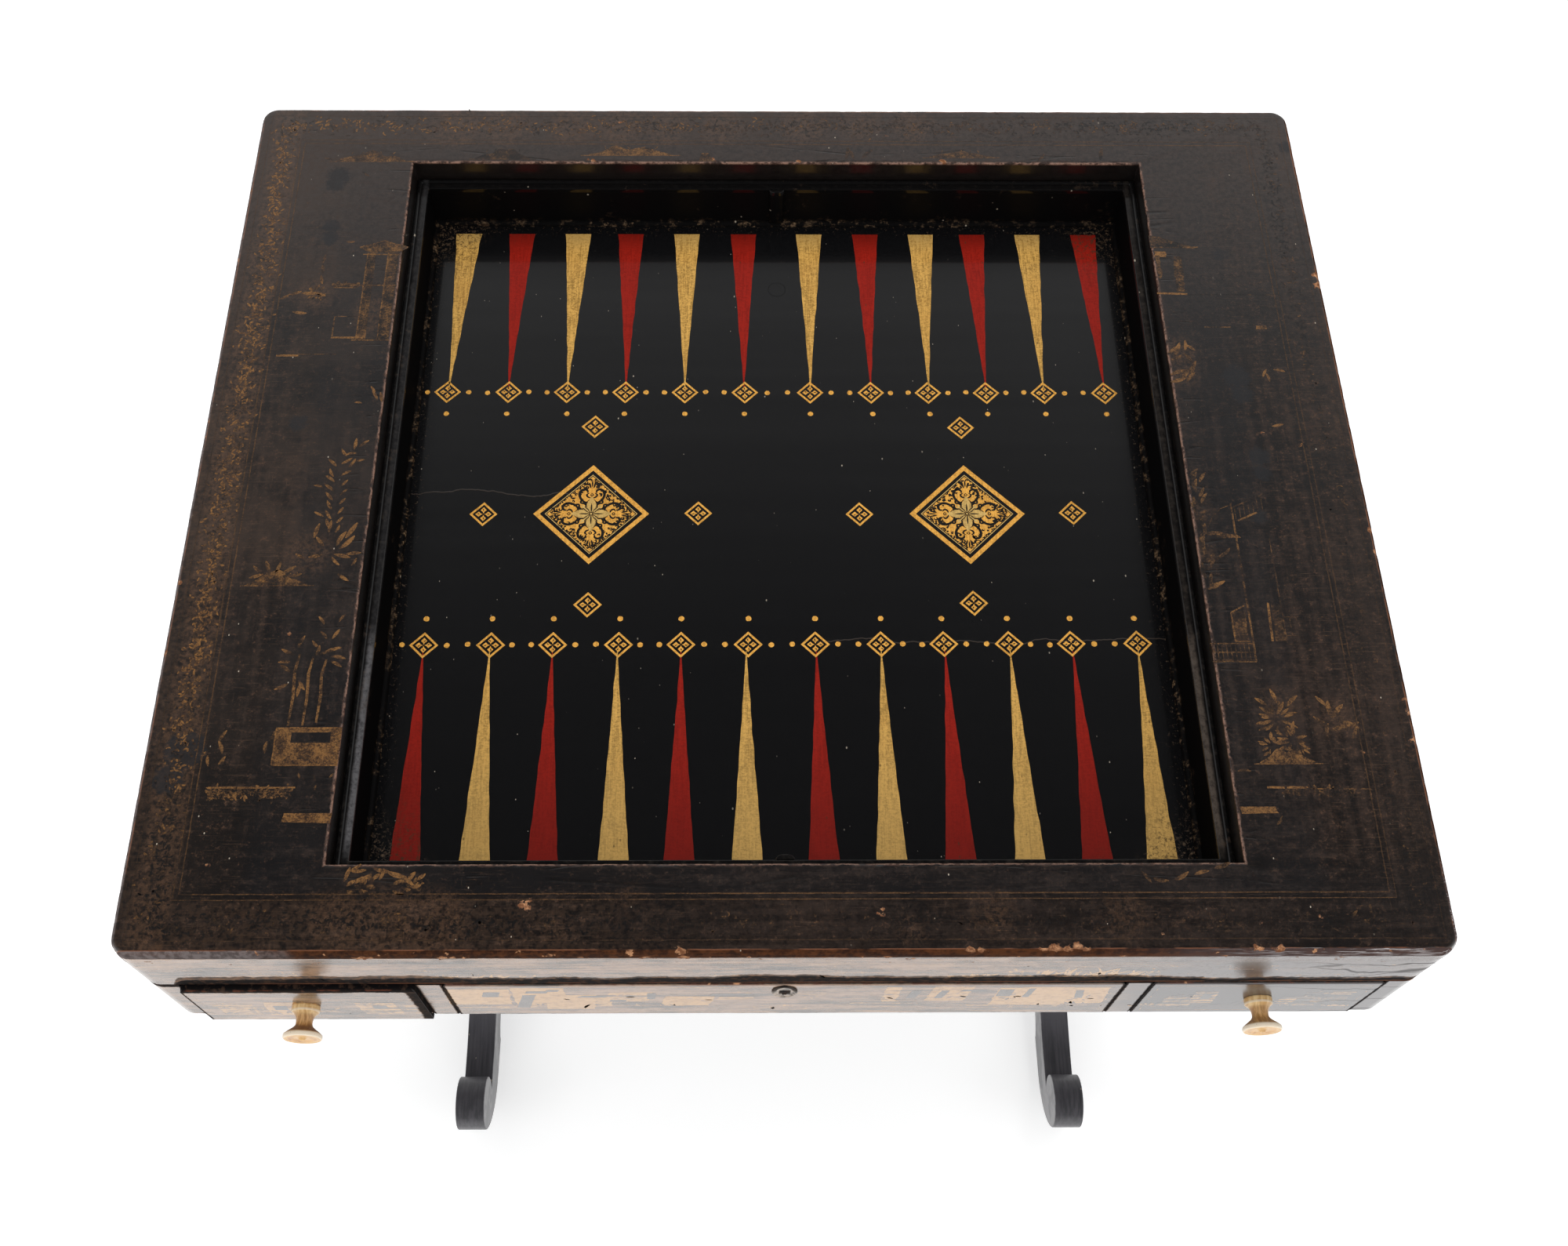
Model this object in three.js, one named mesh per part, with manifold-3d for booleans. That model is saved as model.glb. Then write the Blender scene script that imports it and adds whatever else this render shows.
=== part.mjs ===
// A games table: a lacquered case with a sunk playing well in its top, three drawers in its frieze
// and two scroll-footed trestle ends joined by a turned stretcher.
// Millimetres. +X is to the right, +Y to the back, +Z up, and the floor is at z = 0.
import * as THREE from 'three'
import * as BufferGeometryUtils from 'three/addons/utils/BufferGeometryUtils.js'
import Module from 'manifold-3d'

const wasm = await Module()
wasm.setup()

// Overall size
const tableWidth = 760
const tableDepth = 640
const tableHeight = 746

// Top frame: four mitred rails with a rounded upper edge
const topThickness = 18
const topArrisWidth = 3.2
const topArrisDepth = 8
const cornerRadius = 12
const mitreGap = 0.3

// Playing well: what the frame leaves open between its broad side rails and its end rails
const sideRailWidth = 116
const endRailWidth = 53.5
const boardThickness = 5.5
const boardFit = 0.2

// Stepped moulding under the edge of the top frame
const ledgeWidth = 8.5
const ledgeThickness = 2.5
const ledgeTuck = 4
const ledgeArris = 0.8
const ledgeBeadWidth = 3.6
const ledgeBeadSetback = 0.3

// Small trim inside the well
const floorBeadSize = 3.2
const slipWidth = 11
const slipProud = 3.5
const slipGap = 0.3
const plugRadius = 6.2
const plugSetback = 63
const plugFit = 0.2

// Case: an upper tier of rails round the well and a lower tier round the drawers
const upperTierDrop = 60.5
const caseDrop = 129.5
const railThickness = 20
const apronThickness = 22
const sideOpening = 139.3
const stileWidth = 15.6
const stileDepth = 22
const lowerTierProud = 0.7
const partitionThickness = 12
const caseBottomThickness = 7

// Drawers
const drawerRearGap = 80
const drawerSideGap = 0.5
const drawerHeadroom = 0.9
const drawerRunningGap = 0.3
const drawerAjar = 3
const frontThickness = 18
const frontArris = 2.6
const frontCornerRadius = 3
const sideThickness = 8
const sideLowering = 6.8
const backThickness = 8
const backSetback = 9
const backLowering = 3
const panelThickness = 4
const panelRise = 4
const grooveDepth = 3.5
const housingDepth = 3
const tongueLength = 5
const joineryGap = 0.3

// Lapped dovetails at the front corners of each drawer
const tailCount = 3
const tailLength = 12
const tailRootShare = 0.5
const tailFlareShare = 0.1

// Turned knobs
const knobDrop = 96
const knobOutset = 2.5
const knobLength = 21.5
const knobFaceRadius = 11.8
const knobPegRadius = 4
const knobPegLength = 12

// Keyhole plate, lock case and sliding bolt of the centre drawer
const keyholeDrop = 76
const keyholeRadius = 2.8
const keyholeSlotWidth = 2.8
const keyholeSlotLength = 7.5
const plateWidth = 15.5
const plateHeight = 26
const plateThickness = 1
const plateArris = 0.4
const lockWidth = 50
const lockHeight = 33
const lockDepth = 9
const boltWidth = 20
const boltThickness = 4
const boltHeight = 14
const boltThrow = 7
const boltEndGap = 2
const boltSlotDepth = 24

// Trestle ends
const trestleSetback = 110
const footThickness = 27
const footSeatRise = 25
const solePadLength = 33.5
const footArchRise = 26
const soleRadius = 66
const soleFlatReach = 228.5
const scrollRadius = 24.5
const scrollTilt = THREE.MathUtils.degToRad(17.4)
const scrollNotchAngle = THREE.MathUtils.degToRad(-42.63)
const footSeatShoulder = 10
const uprightThickness = 22
const uprightWidth = 180
const tenonWidth = 60
const tenonThickness = 10
const tenonLength = 16
const bearerWidth = 40
const bearerLength = 460
const bearerHeight = 24
const bearerEndRadius = 18
const stretcherHeight = 300
const stretcherRadius = 18
const stretcherTenonRadius = 9
const stretcherTenonLength = 14

// Facets and tool overrun
const overrun = 1
const cornerFacets = 6
const arrisFacets = 4
const arcFacets = 10
const turningFacets = 32
const beadFacets = 8

// Shapes given as shares of the sizes that they follow
const knobProfileShares = [
  // share of the knob's length, share of the face radius
  [0, 0.69], [0.05, 0.72], [0.17, 0.72], [0.215, 0.68], [0.265, 0.58], [0.32, 0.49],
  [0.39, 0.44], [0.49, 0.42], [0.58, 0.46], [0.64, 0.56], [0.7, 0.71], [0.76, 0.86],
  [0.81, 0.96], [0.88, 1], [0.925, 1],
  [0.95, 0.93], [0.94, 0.82], [0.955, 0.72], [0.93, 0.6], [0.91, 0.34],
  [0.93, 0.2], [0.985, 0.15], [1, 0],
]
const uprightOutlineShares = [
  // share of the upright's height, share of its half width
  [0, 1], [0.05, 0.98], [0.13, 0.62], [0.26, 0.36], [0.42, 0.5],
  [0.58, 0.7], [0.72, 0.56], [0.84, 0.34], [0.93, 0.44], [1, 0.86],
]
const stretcherProfileShares = [
  // share of the half length from the middle, share of the radius
  [0, 1], [0.03, 1], [0.055, 0.72], [0.09, 0.62], [0.3, 0.86], [0.5, 0.78], [0.72, 0.5],
  [0.8, 0.48], [0.83, 0.8], [0.86, 0.82], [0.89, 0.55], [0.94, 0.78], [1, 0.84],
]
const footRiseShares = {
  // control points of the rise from the notch behind the scroll to the seat of the upright
  first: { along: 0.3, up: -0.06 },
  second: { along: 0.62, up: 0.2 },
}

// Planes and half sizes that several pieces share
const halfWidth = tableWidth / 2
const halfDepth = tableDepth / 2
const wellWidth = tableWidth - 2 * sideRailWidth
const wellLength = tableDepth - 2 * endRailWidth
const topUnderside = tableHeight - topThickness
const tierSeam = tableHeight - upperTierDrop
const caseBottom = tableHeight - caseDrop
const caseFloor = caseBottom + caseBottomThickness
const boardFace = tierSeam + boardThickness
const ledgeUnderside = topUnderside - ledgeThickness
const liningHalfWidth = wellWidth / 2 - ledgeWidth
const liningHalfLength = wellLength / 2 - ledgeWidth
const plugMiddle = liningHalfLength - plugSetback
const caseFront = -halfDepth - lowerTierProud
const drawerBackPlane = caseFront + frontThickness
const sideOpeningOuter = halfWidth - apronThickness
const stileOuter = sideOpeningOuter - sideOpening
const stileInner = stileOuter - stileWidth

const finishes = {
  agedLacquer: { color: 0x2e2622, roughness: 0.42, metalness: 0 },
  boardLacquer: { color: 0x1c1c1f, roughness: 0.35, metalness: 0 },
  ebonised: { color: 0x1d1b1a, roughness: 0.45, metalness: 0 },
  drawerWood: { color: 0x86684a, roughness: 0.75, metalness: 0 },
  turnedBone: { color: 0xe9cfa4, roughness: 0.4, metalness: 0 },
  wornMetal: { color: 0xa39b8f, roughness: 0.45, metalness: 0.9 },
  lockSteel: { color: 0x6f6c68, roughness: 0.5, metalness: 0.95 },
}

const table = new THREE.Group()

// Solids: three.js shapes them, manifold joins and cuts them

function solidOf(geometry) {
  const bare = geometry.index ? geometry.clone() : geometry
  for (const name of Object.keys(bare.attributes)) {
    if (name !== 'position') bare.deleteAttribute(name)
  }
  const merged = BufferGeometryUtils.mergeVertices(bare)
  return new wasm.Manifold(new wasm.Mesh({
    numProp: 3,
    vertProperties: new Float32Array(merged.attributes.position.array),
    triVerts: new Uint32Array(merged.index.array),
  }))
}

function geometryOf(solid) {
  const mesh = solid.getMesh()
  const geometry = new THREE.BufferGeometry()
  geometry.setAttribute('position', new THREE.BufferAttribute(mesh.vertProperties, mesh.numProp))
  geometry.setIndex(new THREE.BufferAttribute(mesh.triVerts, 1))
  geometry.computeVertexNormals()
  return geometry
}

const join = (first, ...others) => others.reduce((whole, other) => whole.add(other), first)
const cut = (first, ...others) => others.reduce((whole, other) => whole.subtract(other), first)

function box(x, y, z) {
  const size = [x, y, z].map(([from, to]) => to - from)
  const middle = [x, y, z].map(([from, to]) => (from + to) / 2)
  return solidOf(new THREE.BoxGeometry(...size).translate(...middle))
}

const extrusion = (shape, depth, facets = arcFacets) =>
  new THREE.ExtrudeGeometry(shape, { depth, bevelEnabled: false, curveSegments: facets })

// Prisms along each axis; a shape's own x and y become the two axes that are left.
function prismUp(shape, [from, to], facets) {
  return solidOf(extrusion(shape, to - from, facets).translate(0, 0, from))
}

function prismAcross(shape, [from, to], facets) {
  const turn = new THREE.Matrix4().makeBasis(
    new THREE.Vector3(0, 1, 0), new THREE.Vector3(0, 0, 1), new THREE.Vector3(1, 0, 0))
  return solidOf(extrusion(shape, to - from, facets).applyMatrix4(turn).translate(from, 0, 0))
}

function prismBack(shape, [from, to], facets) {
  const turn = new THREE.Matrix4().makeBasis(
    new THREE.Vector3(1, 0, 0), new THREE.Vector3(0, 0, 1), new THREE.Vector3(0, -1, 0))
  return solidOf(extrusion(shape, to - from, facets).applyMatrix4(turn).translate(0, to, 0))
}

const polygon = (points) => new THREE.Shape(points.map(([x, y]) => new THREE.Vector2(x, y)))

function roundedRectangle([left, right], [low, high], radius) {
  const shape = new THREE.Shape()
  const quarter = Math.PI / 2
  shape.absarc(right - radius, low + radius, radius, -quarter, 0)
  shape.absarc(right - radius, high - radius, radius, 0, quarter)
  shape.absarc(left + radius, high - radius, radius, quarter, 2 * quarter)
  shape.absarc(left + radius, low + radius, radius, 2 * quarter, 3 * quarter)
  shape.closePath()
  return shape
}

function piece(name, solid, finish, parent = table) {
  const mesh = new THREE.Mesh(geometryOf(solid), new THREE.MeshStandardMaterial(finishes[finish]))
  mesh.name = name
  parent.add(mesh)
}

const mirrorX = (solid) => solid.mirror([1, 0, 0])
const span = (middle, size) => [middle - size / 2, middle + size / 2]

// Top frame

function topRing() {
  const outline = roundedRectangle([-halfWidth, halfWidth], [-halfDepth, halfDepth], cornerRadius)
  const slab = new THREE.ExtrudeGeometry(outline, {
    depth: topThickness,
    bevelThickness: topArrisDepth,
    bevelSize: topArrisWidth,
    bevelOffset: -topArrisWidth,
    bevelSegments: arrisFacets,
    curveSegments: cornerFacets,
  }).translate(0, 0, topUnderside - topArrisDepth)
  const width = [-halfWidth - overrun, halfWidth + overrun]
  const depth = [-halfDepth - overrun, halfDepth + overrun]
  const keep = box(width, depth, [topUnderside, tableHeight + overrun])
  const well = box(
    span(0, wellWidth), span(0, wellLength), [topUnderside - overrun, tableHeight + overrun])
  return cut(solidOf(slab).intersect(keep), well)
}

// The mitres run from the corners of the well to the corners of the table.
function topFrame() {
  const ring = topRing()
  const slope = (halfDepth - wellLength / 2) / (halfWidth - wellWidth / 2)
  const outer = [halfWidth + overrun, halfDepth + slope * overrun]
  const inner = [wellWidth / 2 - overrun, wellLength / 2 - slope * overrun]
  const height = [topUnderside - overrun, tableHeight + overrun]
  const frontWedge = prismUp(polygon([
    [-outer[0], -outer[1]], [outer[0], -outer[1]], [inner[0], -inner[1]], [-inner[0], -inner[1]],
  ]), height)
  const rightWedge = prismUp(polygon([
    [outer[0], -outer[1]], outer, inner, [inner[0], -inner[1]],
  ]), height)
  const front = ring.intersect(frontWedge.translate([0, -mitreGap, 0]))
  const right = ring.intersect(rightWedge)
  piece('top_front', front, 'agedLacquer')
  piece('top_back', front.mirror([0, 1, 0]), 'agedLacquer')
  piece('top_right', right, 'agedLacquer')
  piece('top_left', mirrorX(right), 'agedLacquer')
}

// Well

// One strip of moulding along the front wall of the well, mitred at both ends. The section's
// x runs from the wall into the well, and its y runs up.
function mitredStrip(section, halfLength, wallDistance) {
  const length = [-halfLength - overrun - ledgeTuck, halfLength + overrun + ledgeTuck]
  const strip = prismAcross(section, length, beadFacets).translate([0, -wallDistance, 0])
  const outer = ledgeTuck + overrun
  const low = -wallDistance - outer
  const inset = mitreGap * Math.SQRT1_2
  const high = low + halfLength
  const wedge = prismUp(
    polygon([
      [-halfLength - outer, low], [halfLength + outer, low], [outer, high], [-outer, high],
    ]), [tierSeam, tableHeight])
  return strip.intersect(wedge.translate([0, -inset, 0]))
}

// The same strip on all four walls: the front one turned to each side in turn.
function stripsRound(name, section, halfX, halfY, finish) {
  const alongX = mitredStrip(section, halfX, halfY)
  const alongY = mitredStrip(section, halfY, halfX)
  const sides = [['front', alongX], ['right', alongY], ['back', alongX], ['left', alongY]]
  const quarterTurn = THREE.MathUtils.radToDeg(Math.PI / 2)
  sides.forEach(([side, strip], turns) => {
    piece(`${name}_${side}`, strip.rotate([0, 0, turns * quarterTurn]), finish)
  })
}

function ledgeSection() {
  const shape = new THREE.Shape()
  const beadRadius = ledgeBeadWidth / 2
  shape.moveTo(-ledgeTuck, topUnderside)
  shape.lineTo(-ledgeTuck, ledgeUnderside)
  shape.lineTo(ledgeWidth, ledgeUnderside)
  shape.lineTo(ledgeWidth, topUnderside - ledgeArris)
  shape.lineTo(ledgeWidth - ledgeArris, topUnderside)
  shape.absarc(ledgeBeadSetback + beadRadius, topUnderside, beadRadius, 0, Math.PI)
  shape.closePath()
  return shape
}

function floorBeadSection() {
  const shape = new THREE.Shape()
  shape.moveTo(0, boardFace)
  shape.absarc(0, boardFace, floorBeadSize, 0, Math.PI / 2)
  shape.closePath()
  return shape
}

function wellLining() {
  const height = [tierSeam, ledgeUnderside]
  const outerHalfWidth = wellWidth / 2 + ledgeTuck
  const outerHalfLength = wellLength / 2 + ledgeTuck
  const front = box(
    [-outerHalfWidth, outerHalfWidth], [-outerHalfLength, -liningHalfLength], height)
  const right = box(
    [liningHalfWidth, outerHalfWidth], [-liningHalfLength, liningHalfLength], height)
  piece('well_lining_front', front, 'boardLacquer')
  piece('well_lining_back', front.mirror([0, 1, 0]), 'boardLacquer')
  piece('well_lining_right', right, 'boardLacquer')
  piece('well_lining_left', mirrorX(right), 'boardLacquer')
}

function plugDisc(radius, height) {
  const circle = new THREE.Shape().absarc(0, plugMiddle, radius, 0, 2 * Math.PI)
  return prismUp(circle, height, turningFacets)
}

function playingBoard() {
  const height = [tierSeam, boardFace]
  const board = box(
    span(0, 2 * (liningHalfWidth - boardFit)), span(0, 2 * (liningHalfLength - boardFit)), height)
  const hole = plugDisc(plugRadius + plugFit, [tierSeam - overrun, boardFace + overrun])
  piece('playing_board', cut(board, hole), 'boardLacquer')
  piece('board_plug', plugDisc(plugRadius, height), 'boardLacquer')
}

// A half-round slip up the middle of the front and back walls, above the floor bead.
function wallSlips() {
  const shape = new THREE.Shape()
  shape.absellipse(0, 0, slipWidth / 2, slipProud, 0, Math.PI)
  shape.closePath()
  const height = [boardFace + floorBeadSize + slipGap, topUnderside]
  const slip = prismUp(shape, height).translate([0, -liningHalfLength, 0])
  piece('wall_slip_front', slip, 'boardLacquer')
  piece('wall_slip_back', slip.mirror([0, 1, 0]), 'boardLacquer')
}

function well() {
  wellLining()
  stripsRound('ledge', ledgeSection(), wellWidth / 2, wellLength / 2, 'agedLacquer')
  playingBoard()
  stripsRound('floor_bead', floorBeadSection(), liningHalfWidth, liningHalfLength, 'boardLacquer')
  wallSlips()
}

// Case

function caseBlock(height) {
  const outline = roundedRectangle([-halfWidth, halfWidth], [-halfDepth, halfDepth], cornerRadius)
  return prismUp(outline, height, cornerFacets)
}

function boltMortise() {
  const size = (length) => span(0, length + 2 * joineryGap)
  const y = size(boltThickness).map((at) => at + boltMiddle)
  return box(size(boltWidth), y, [tierSeam - overrun, tierSeam + boltThrow + boltEndGap])
}

function upperTier() {
  const height = [tierSeam, topUnderside]
  const tier = caseBlock(height)
  const reach = [-halfWidth - overrun, halfWidth + overrun]
  const innerY = halfDepth - railThickness
  const frontBand = box(reach, [-halfDepth - overrun, -innerY], height)
  const sideBand = box([halfWidth - railThickness, halfWidth + overrun], [-innerY, innerY], height)
  const front = tier.intersect(frontBand)
  const right = tier.intersect(sideBand)
  piece('rail_front', cut(front, boltMortise()), 'agedLacquer')
  piece('rail_back', front.mirror([0, 1, 0]), 'agedLacquer')
  piece('rail_right', right, 'agedLacquer')
  piece('rail_left', mirrorX(right), 'agedLacquer')
}

function lowerTier() {
  const height = [caseBottom, tierSeam]
  const tier = caseBlock(height)
  const reach = [-halfDepth - overrun, halfDepth + overrun]
  const right = tier.intersect(box([sideOpeningOuter, halfWidth + overrun], reach, height))
  const innerY = halfDepth - railThickness
  const innerWidth = [-sideOpeningOuter, sideOpeningOuter]
  const behindStiles = [caseFront + stileDepth, innerY]
  piece('apron_right', right, 'agedLacquer')
  piece('apron_left', mirrorX(right), 'agedLacquer')
  piece('apron_back', box(innerWidth, [innerY, halfDepth], height), 'agedLacquer')
  piece('case_bottom', box(innerWidth, behindStiles, [caseBottom, caseFloor]), 'ebonised')

  const stile = box([stileInner, stileOuter], [caseFront, caseFront + stileDepth], height)
  const stileMiddle = (stileInner + stileOuter) / 2
  const partition = box(span(stileMiddle, partitionThickness), behindStiles, [caseFloor, tierSeam])
  piece('stile_right', stile, 'agedLacquer')
  piece('stile_left', mirrorX(stile), 'agedLacquer')
  piece('partition_right', partition, 'drawerWood')
  piece('partition_left', mirrorX(partition), 'drawerWood')
}

// Drawers

const drawerFloor = caseFloor + drawerRunningGap
const drawerRear = halfDepth - railThickness - drawerRearGap
const frontTop = tierSeam - drawerHeadroom
const sideHeight = frontTop - sideLowering - drawerFloor
const panelUnderside = drawerFloor + panelRise
const panelFace = panelUnderside + panelThickness
const lockFront = drawerBackPlane - lockDepth
const boltMiddle = drawerBackPlane - lockDepth / 2

// A board with its upper front edge rounded and its upper corners eased.
function drawerFrontBlank(x) {
  const section = new THREE.Shape()
  section.moveTo(caseFront, caseBottom)
  section.lineTo(drawerBackPlane, caseBottom)
  section.lineTo(drawerBackPlane, frontTop)
  section.absarc(caseFront + frontArris, frontTop - frontArris, frontArris, Math.PI / 2, Math.PI)
  section.closePath()
  const board = prismAcross(section, x, arrisFacets)
  const outline = roundedRectangle(
    x, [caseBottom - frontCornerRadius, frontTop], frontCornerRadius)
  return board.intersect(
    prismBack(outline, [caseFront - overrun, drawerBackPlane + overrun], arrisFacets))
}

// The tails of a drawer side, or the sockets that they fill when grown by a gap.
function tails(x, gap) {
  const pitch = sideHeight / tailCount
  const root = drawerBackPlane + overrun
  const tip = drawerBackPlane - tailLength - gap
  const shapes = []
  for (let index = 0; index < tailCount; index += 1) {
    const middle = drawerFloor + pitch * (index + 0.5)
    const rootHalf = tailRootShare * pitch / 2 + gap
    const tipHalf = rootHalf + tailFlareShare * pitch
    shapes.push(prismAcross(polygon([
      [root, middle - rootHalf], [root, middle + rootHalf],
      [tip, middle + tipHalf], [tip, middle - tipHalf],
    ]), x))
  }
  return join(...shapes)
}

// A side on the drawer's right, with its inner face towards -X.
function drawerSide([inner, outer]) {
  const height = [drawerFloor, drawerFloor + sideHeight]
  const plank = box([inner, outer], [drawerBackPlane, drawerRear], height)
  const groove = box(
    [inner - overrun, inner + grooveDepth], [drawerBackPlane, drawerRear + overrun],
    [panelUnderside, panelFace + joineryGap])
  const housingRear = drawerRear - backSetback + joineryGap
  const housing = box(
    [inner - overrun, inner + housingDepth + joineryGap],
    [housingRear - backThickness - 2 * joineryGap, housingRear],
    [panelFace, drawerFloor + sideHeight + overrun])
  return cut(join(plank, tails([inner, outer], 0)), groove, housing)
}

function drawerBack([left, right]) {
  const width = [left - housingDepth, right + housingDepth]
  const depth = [drawerRear - backSetback - backThickness, drawerRear - backSetback]
  return box(width, depth, [panelFace, drawerFloor + sideHeight - backLowering])
}

function drawerPanel([left, right]) {
  const edge = grooveDepth - joineryGap
  const height = [panelUnderside, panelFace]
  const sheet = box(
    [left - edge, right + edge], [drawerBackPlane + joineryGap, drawerRear], height)
  const tongue = box(
    [left + joineryGap, right - joineryGap],
    [drawerBackPlane - tongueLength + joineryGap, drawerBackPlane + 2 * joineryGap], height)
  return join(sheet, tongue)
}

// A drawer in the opening from one x to another. The fittings cut their own seats in the front.
function drawer(name, [from, to], group, fittings) {
  const outer = [from + drawerSideGap, to - drawerSideGap]
  const inner = [outer[0] + sideThickness, outer[1] - sideThickness]
  const middle = (from + to) / 2
  const rightSide = [inner[1] - middle, outer[1] - middle]
  const side = drawerSide(rightSide)
  const socket = tails([rightSide[0] - joineryGap, rightSide[1] + overrun], joineryGap)
  const groove = box(
    inner, [drawerBackPlane - tongueLength, drawerBackPlane + overrun],
    [panelUnderside, panelFace + joineryGap])
  const front = cut(
    drawerFrontBlank(outer), groove,
    socket.translate([middle, 0, 0]), mirrorX(socket).translate([middle, 0, 0]))
  piece(`${name}_front`, fittings(front, middle, group), 'agedLacquer', group)
  piece(`${name}_side_right`, side.translate([middle, 0, 0]), 'drawerWood', group)
  piece(`${name}_side_left`, mirrorX(side).translate([middle, 0, 0]), 'drawerWood', group)
  piece(`${name}_back`, drawerBack(inner), 'drawerWood', group)
  piece(`${name}_bottom`, drawerPanel(inner), 'drawerWood', group)
  table.add(group)
}

// A turning whose axis runs straight out of the drawer front: its profile's y is 0 at the front
// and grows into the case.
function turnedOut(profile, x, z) {
  return solidOf(new THREE.LatheGeometry(profile, turningFacets)).translate([x, caseFront, z])
}

function knobProfile() {
  const outside = knobProfileShares.slice(0, -1).map(([along, out]) =>
    new THREE.Vector2(out * knobFaceRadius, -along * knobLength))
  const peg = [new THREE.Vector2(0, knobPegLength), new THREE.Vector2(knobPegRadius, knobPegLength)]
  const shoulder = new THREE.Vector2(knobPegRadius, 0)
  const tip = new THREE.Vector2(0, -knobLength)
  return [...peg, shoulder, ...outside, tip].reverse()
}

function knobFitting(name, outward) {
  return (front, middle, group) => {
    const x = middle + outward * knobOutset
    const z = tableHeight - knobDrop
    const depth = knobPegLength + joineryGap
    const radius = knobPegRadius + joineryGap
    const hole = turnedOut([
      new THREE.Vector2(0, -overrun), new THREE.Vector2(radius, -overrun),
      new THREE.Vector2(radius, depth), new THREE.Vector2(0, depth),
    ], x, z)
    piece(name, turnedOut(knobProfile(), x, z), 'turnedBone', group)
    return cut(front, hole)
  }
}

function keyhole(depth) {
  const z = tableHeight - keyholeDrop
  const half = keyholeSlotWidth / 2
  const eye = new THREE.Shape().absarc(0, z + keyholeRadius, keyholeRadius, 0, 2 * Math.PI)
  const slot = polygon([
    [-half, z - keyholeSlotLength], [half, z - keyholeSlotLength],
    [half, z + keyholeRadius], [-half, z + keyholeRadius],
  ])
  return join(prismBack(eye, depth), prismBack(slot, depth))
}

function keyholePlate(group) {
  const z = tableHeight - keyholeDrop
  const oval = new THREE.Shape()
  oval.absellipse(0, z, plateWidth / 2, plateHeight / 2, 0, 2 * Math.PI)
  const inner = new THREE.Shape()
  inner.absellipse(0, z, plateWidth / 2 - plateArris, plateHeight / 2 - plateArris, 0, 2 * Math.PI)
  const shoulder = caseFront - plateThickness + plateArris
  const plate = join(
    prismBack(oval, [shoulder, caseFront], turningFacets),
    prismBack(inner, [caseFront - plateThickness, caseFront], turningFacets))
  const through = keyhole([caseFront - plateThickness - overrun, caseFront + overrun])
  piece('keyhole_plate', cut(plate, through), 'wornMetal', group)
}

function lockCase(group) {
  const top = frontTop - joineryGap
  const body = box(
    span(0, lockWidth), [lockFront + joineryGap, drawerBackPlane], [frontTop - lockHeight, top])
  const slotSize = (length) => span(0, length + 2 * joineryGap)
  const slotY = slotSize(boltThickness).map((at) => at + boltMiddle)
  const slot = box(slotSize(boltWidth), slotY, [top - boltSlotDepth, top + overrun])
  piece('lock_case', cut(body, slot, keyhole([lockFront - overrun, boltMiddle])), 'wornMetal', group)
}

function lockBolt(group) {
  const top = frontTop - joineryGap
  const bolt = box(
    span(0, boltWidth), span(boltMiddle, boltThickness), [top - boltHeight, top])
  piece('lock_bolt', bolt, 'lockSteel', group)
}

function lockFitting(front, middle, group) {
  const recess = box(
    span(middle, lockWidth + 2 * joineryGap), [lockFront, drawerBackPlane + overrun],
    [frontTop - lockHeight - joineryGap, frontTop + overrun])
  keyholePlate(group)
  lockCase(group)
  lockBolt(group)
  return cut(front, recess, keyhole([caseFront - overrun, drawerBackPlane]))
}

function drawers() {
  const leftGroup = new THREE.Group()
  leftGroup.position.y = -drawerAjar
  drawer('left_drawer', [-sideOpeningOuter, -stileOuter], leftGroup, knobFitting('knob_left', -1))
  drawer('right_drawer', [stileOuter, sideOpeningOuter], new THREE.Group(),
    knobFitting('knob_right', 1))
  drawer('centre_drawer', [-stileInner, stileInner], new THREE.Group(), lockFitting)
}

// Trestle ends

// The bar's outline seen from the side: a sole that curls up into a scroll at each end, a
// notch behind each scroll, a rise to the seat of the upright, and a low arch underneath.
const scrollLean = Math.PI + scrollTilt
const scrollReach = soleRadius - scrollRadius
const scrollHeight = soleRadius + scrollReach * Math.sin(scrollLean)
const footBarHeight = scrollHeight + scrollRadius * Math.sin(scrollNotchAngle)
const footSeatHeight = footBarHeight + footSeatRise

function footOutline() {
  const scrollY = -soleFlatReach + scrollReach * Math.cos(scrollLean)
  const notchY = scrollY + scrollRadius * Math.cos(scrollNotchAngle)
  const seatY = -uprightWidth / 2 - footSeatShoulder
  const archHalf = soleFlatReach - solePadLength
  const handle = ({ along, up }) =>
    [notchY + along * (seatY - notchY), footBarHeight + up * footSeatRise]
  const [firstY, firstZ] = handle(footRiseShares.first)
  const [secondY, secondZ] = handle(footRiseShares.second)
  const down = -Math.PI / 2
  const shape = new THREE.Shape()
  shape.moveTo(-archHalf, 0)
  shape.lineTo(-soleFlatReach, 0)
  shape.absarc(-soleFlatReach, soleRadius, soleRadius, down, scrollLean - 2 * Math.PI, true)
  shape.absarc(scrollY, scrollHeight, scrollRadius, scrollLean, scrollNotchAngle, true)
  shape.bezierCurveTo(firstY, firstZ, secondY, secondZ, seatY, footSeatHeight)
  shape.lineTo(-seatY, footSeatHeight)
  shape.bezierCurveTo(-secondY, secondZ, -firstY, firstZ, -notchY, footBarHeight)
  shape.absarc(
    -scrollY, scrollHeight, scrollRadius, Math.PI - scrollNotchAngle, -scrollTilt, true)
  shape.absarc(soleFlatReach, soleRadius, soleRadius, -scrollTilt, down, true)
  shape.lineTo(archHalf, 0)
  shape.absellipse(0, 0, archHalf, footArchRise, 0, Math.PI)
  return shape
}

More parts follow.
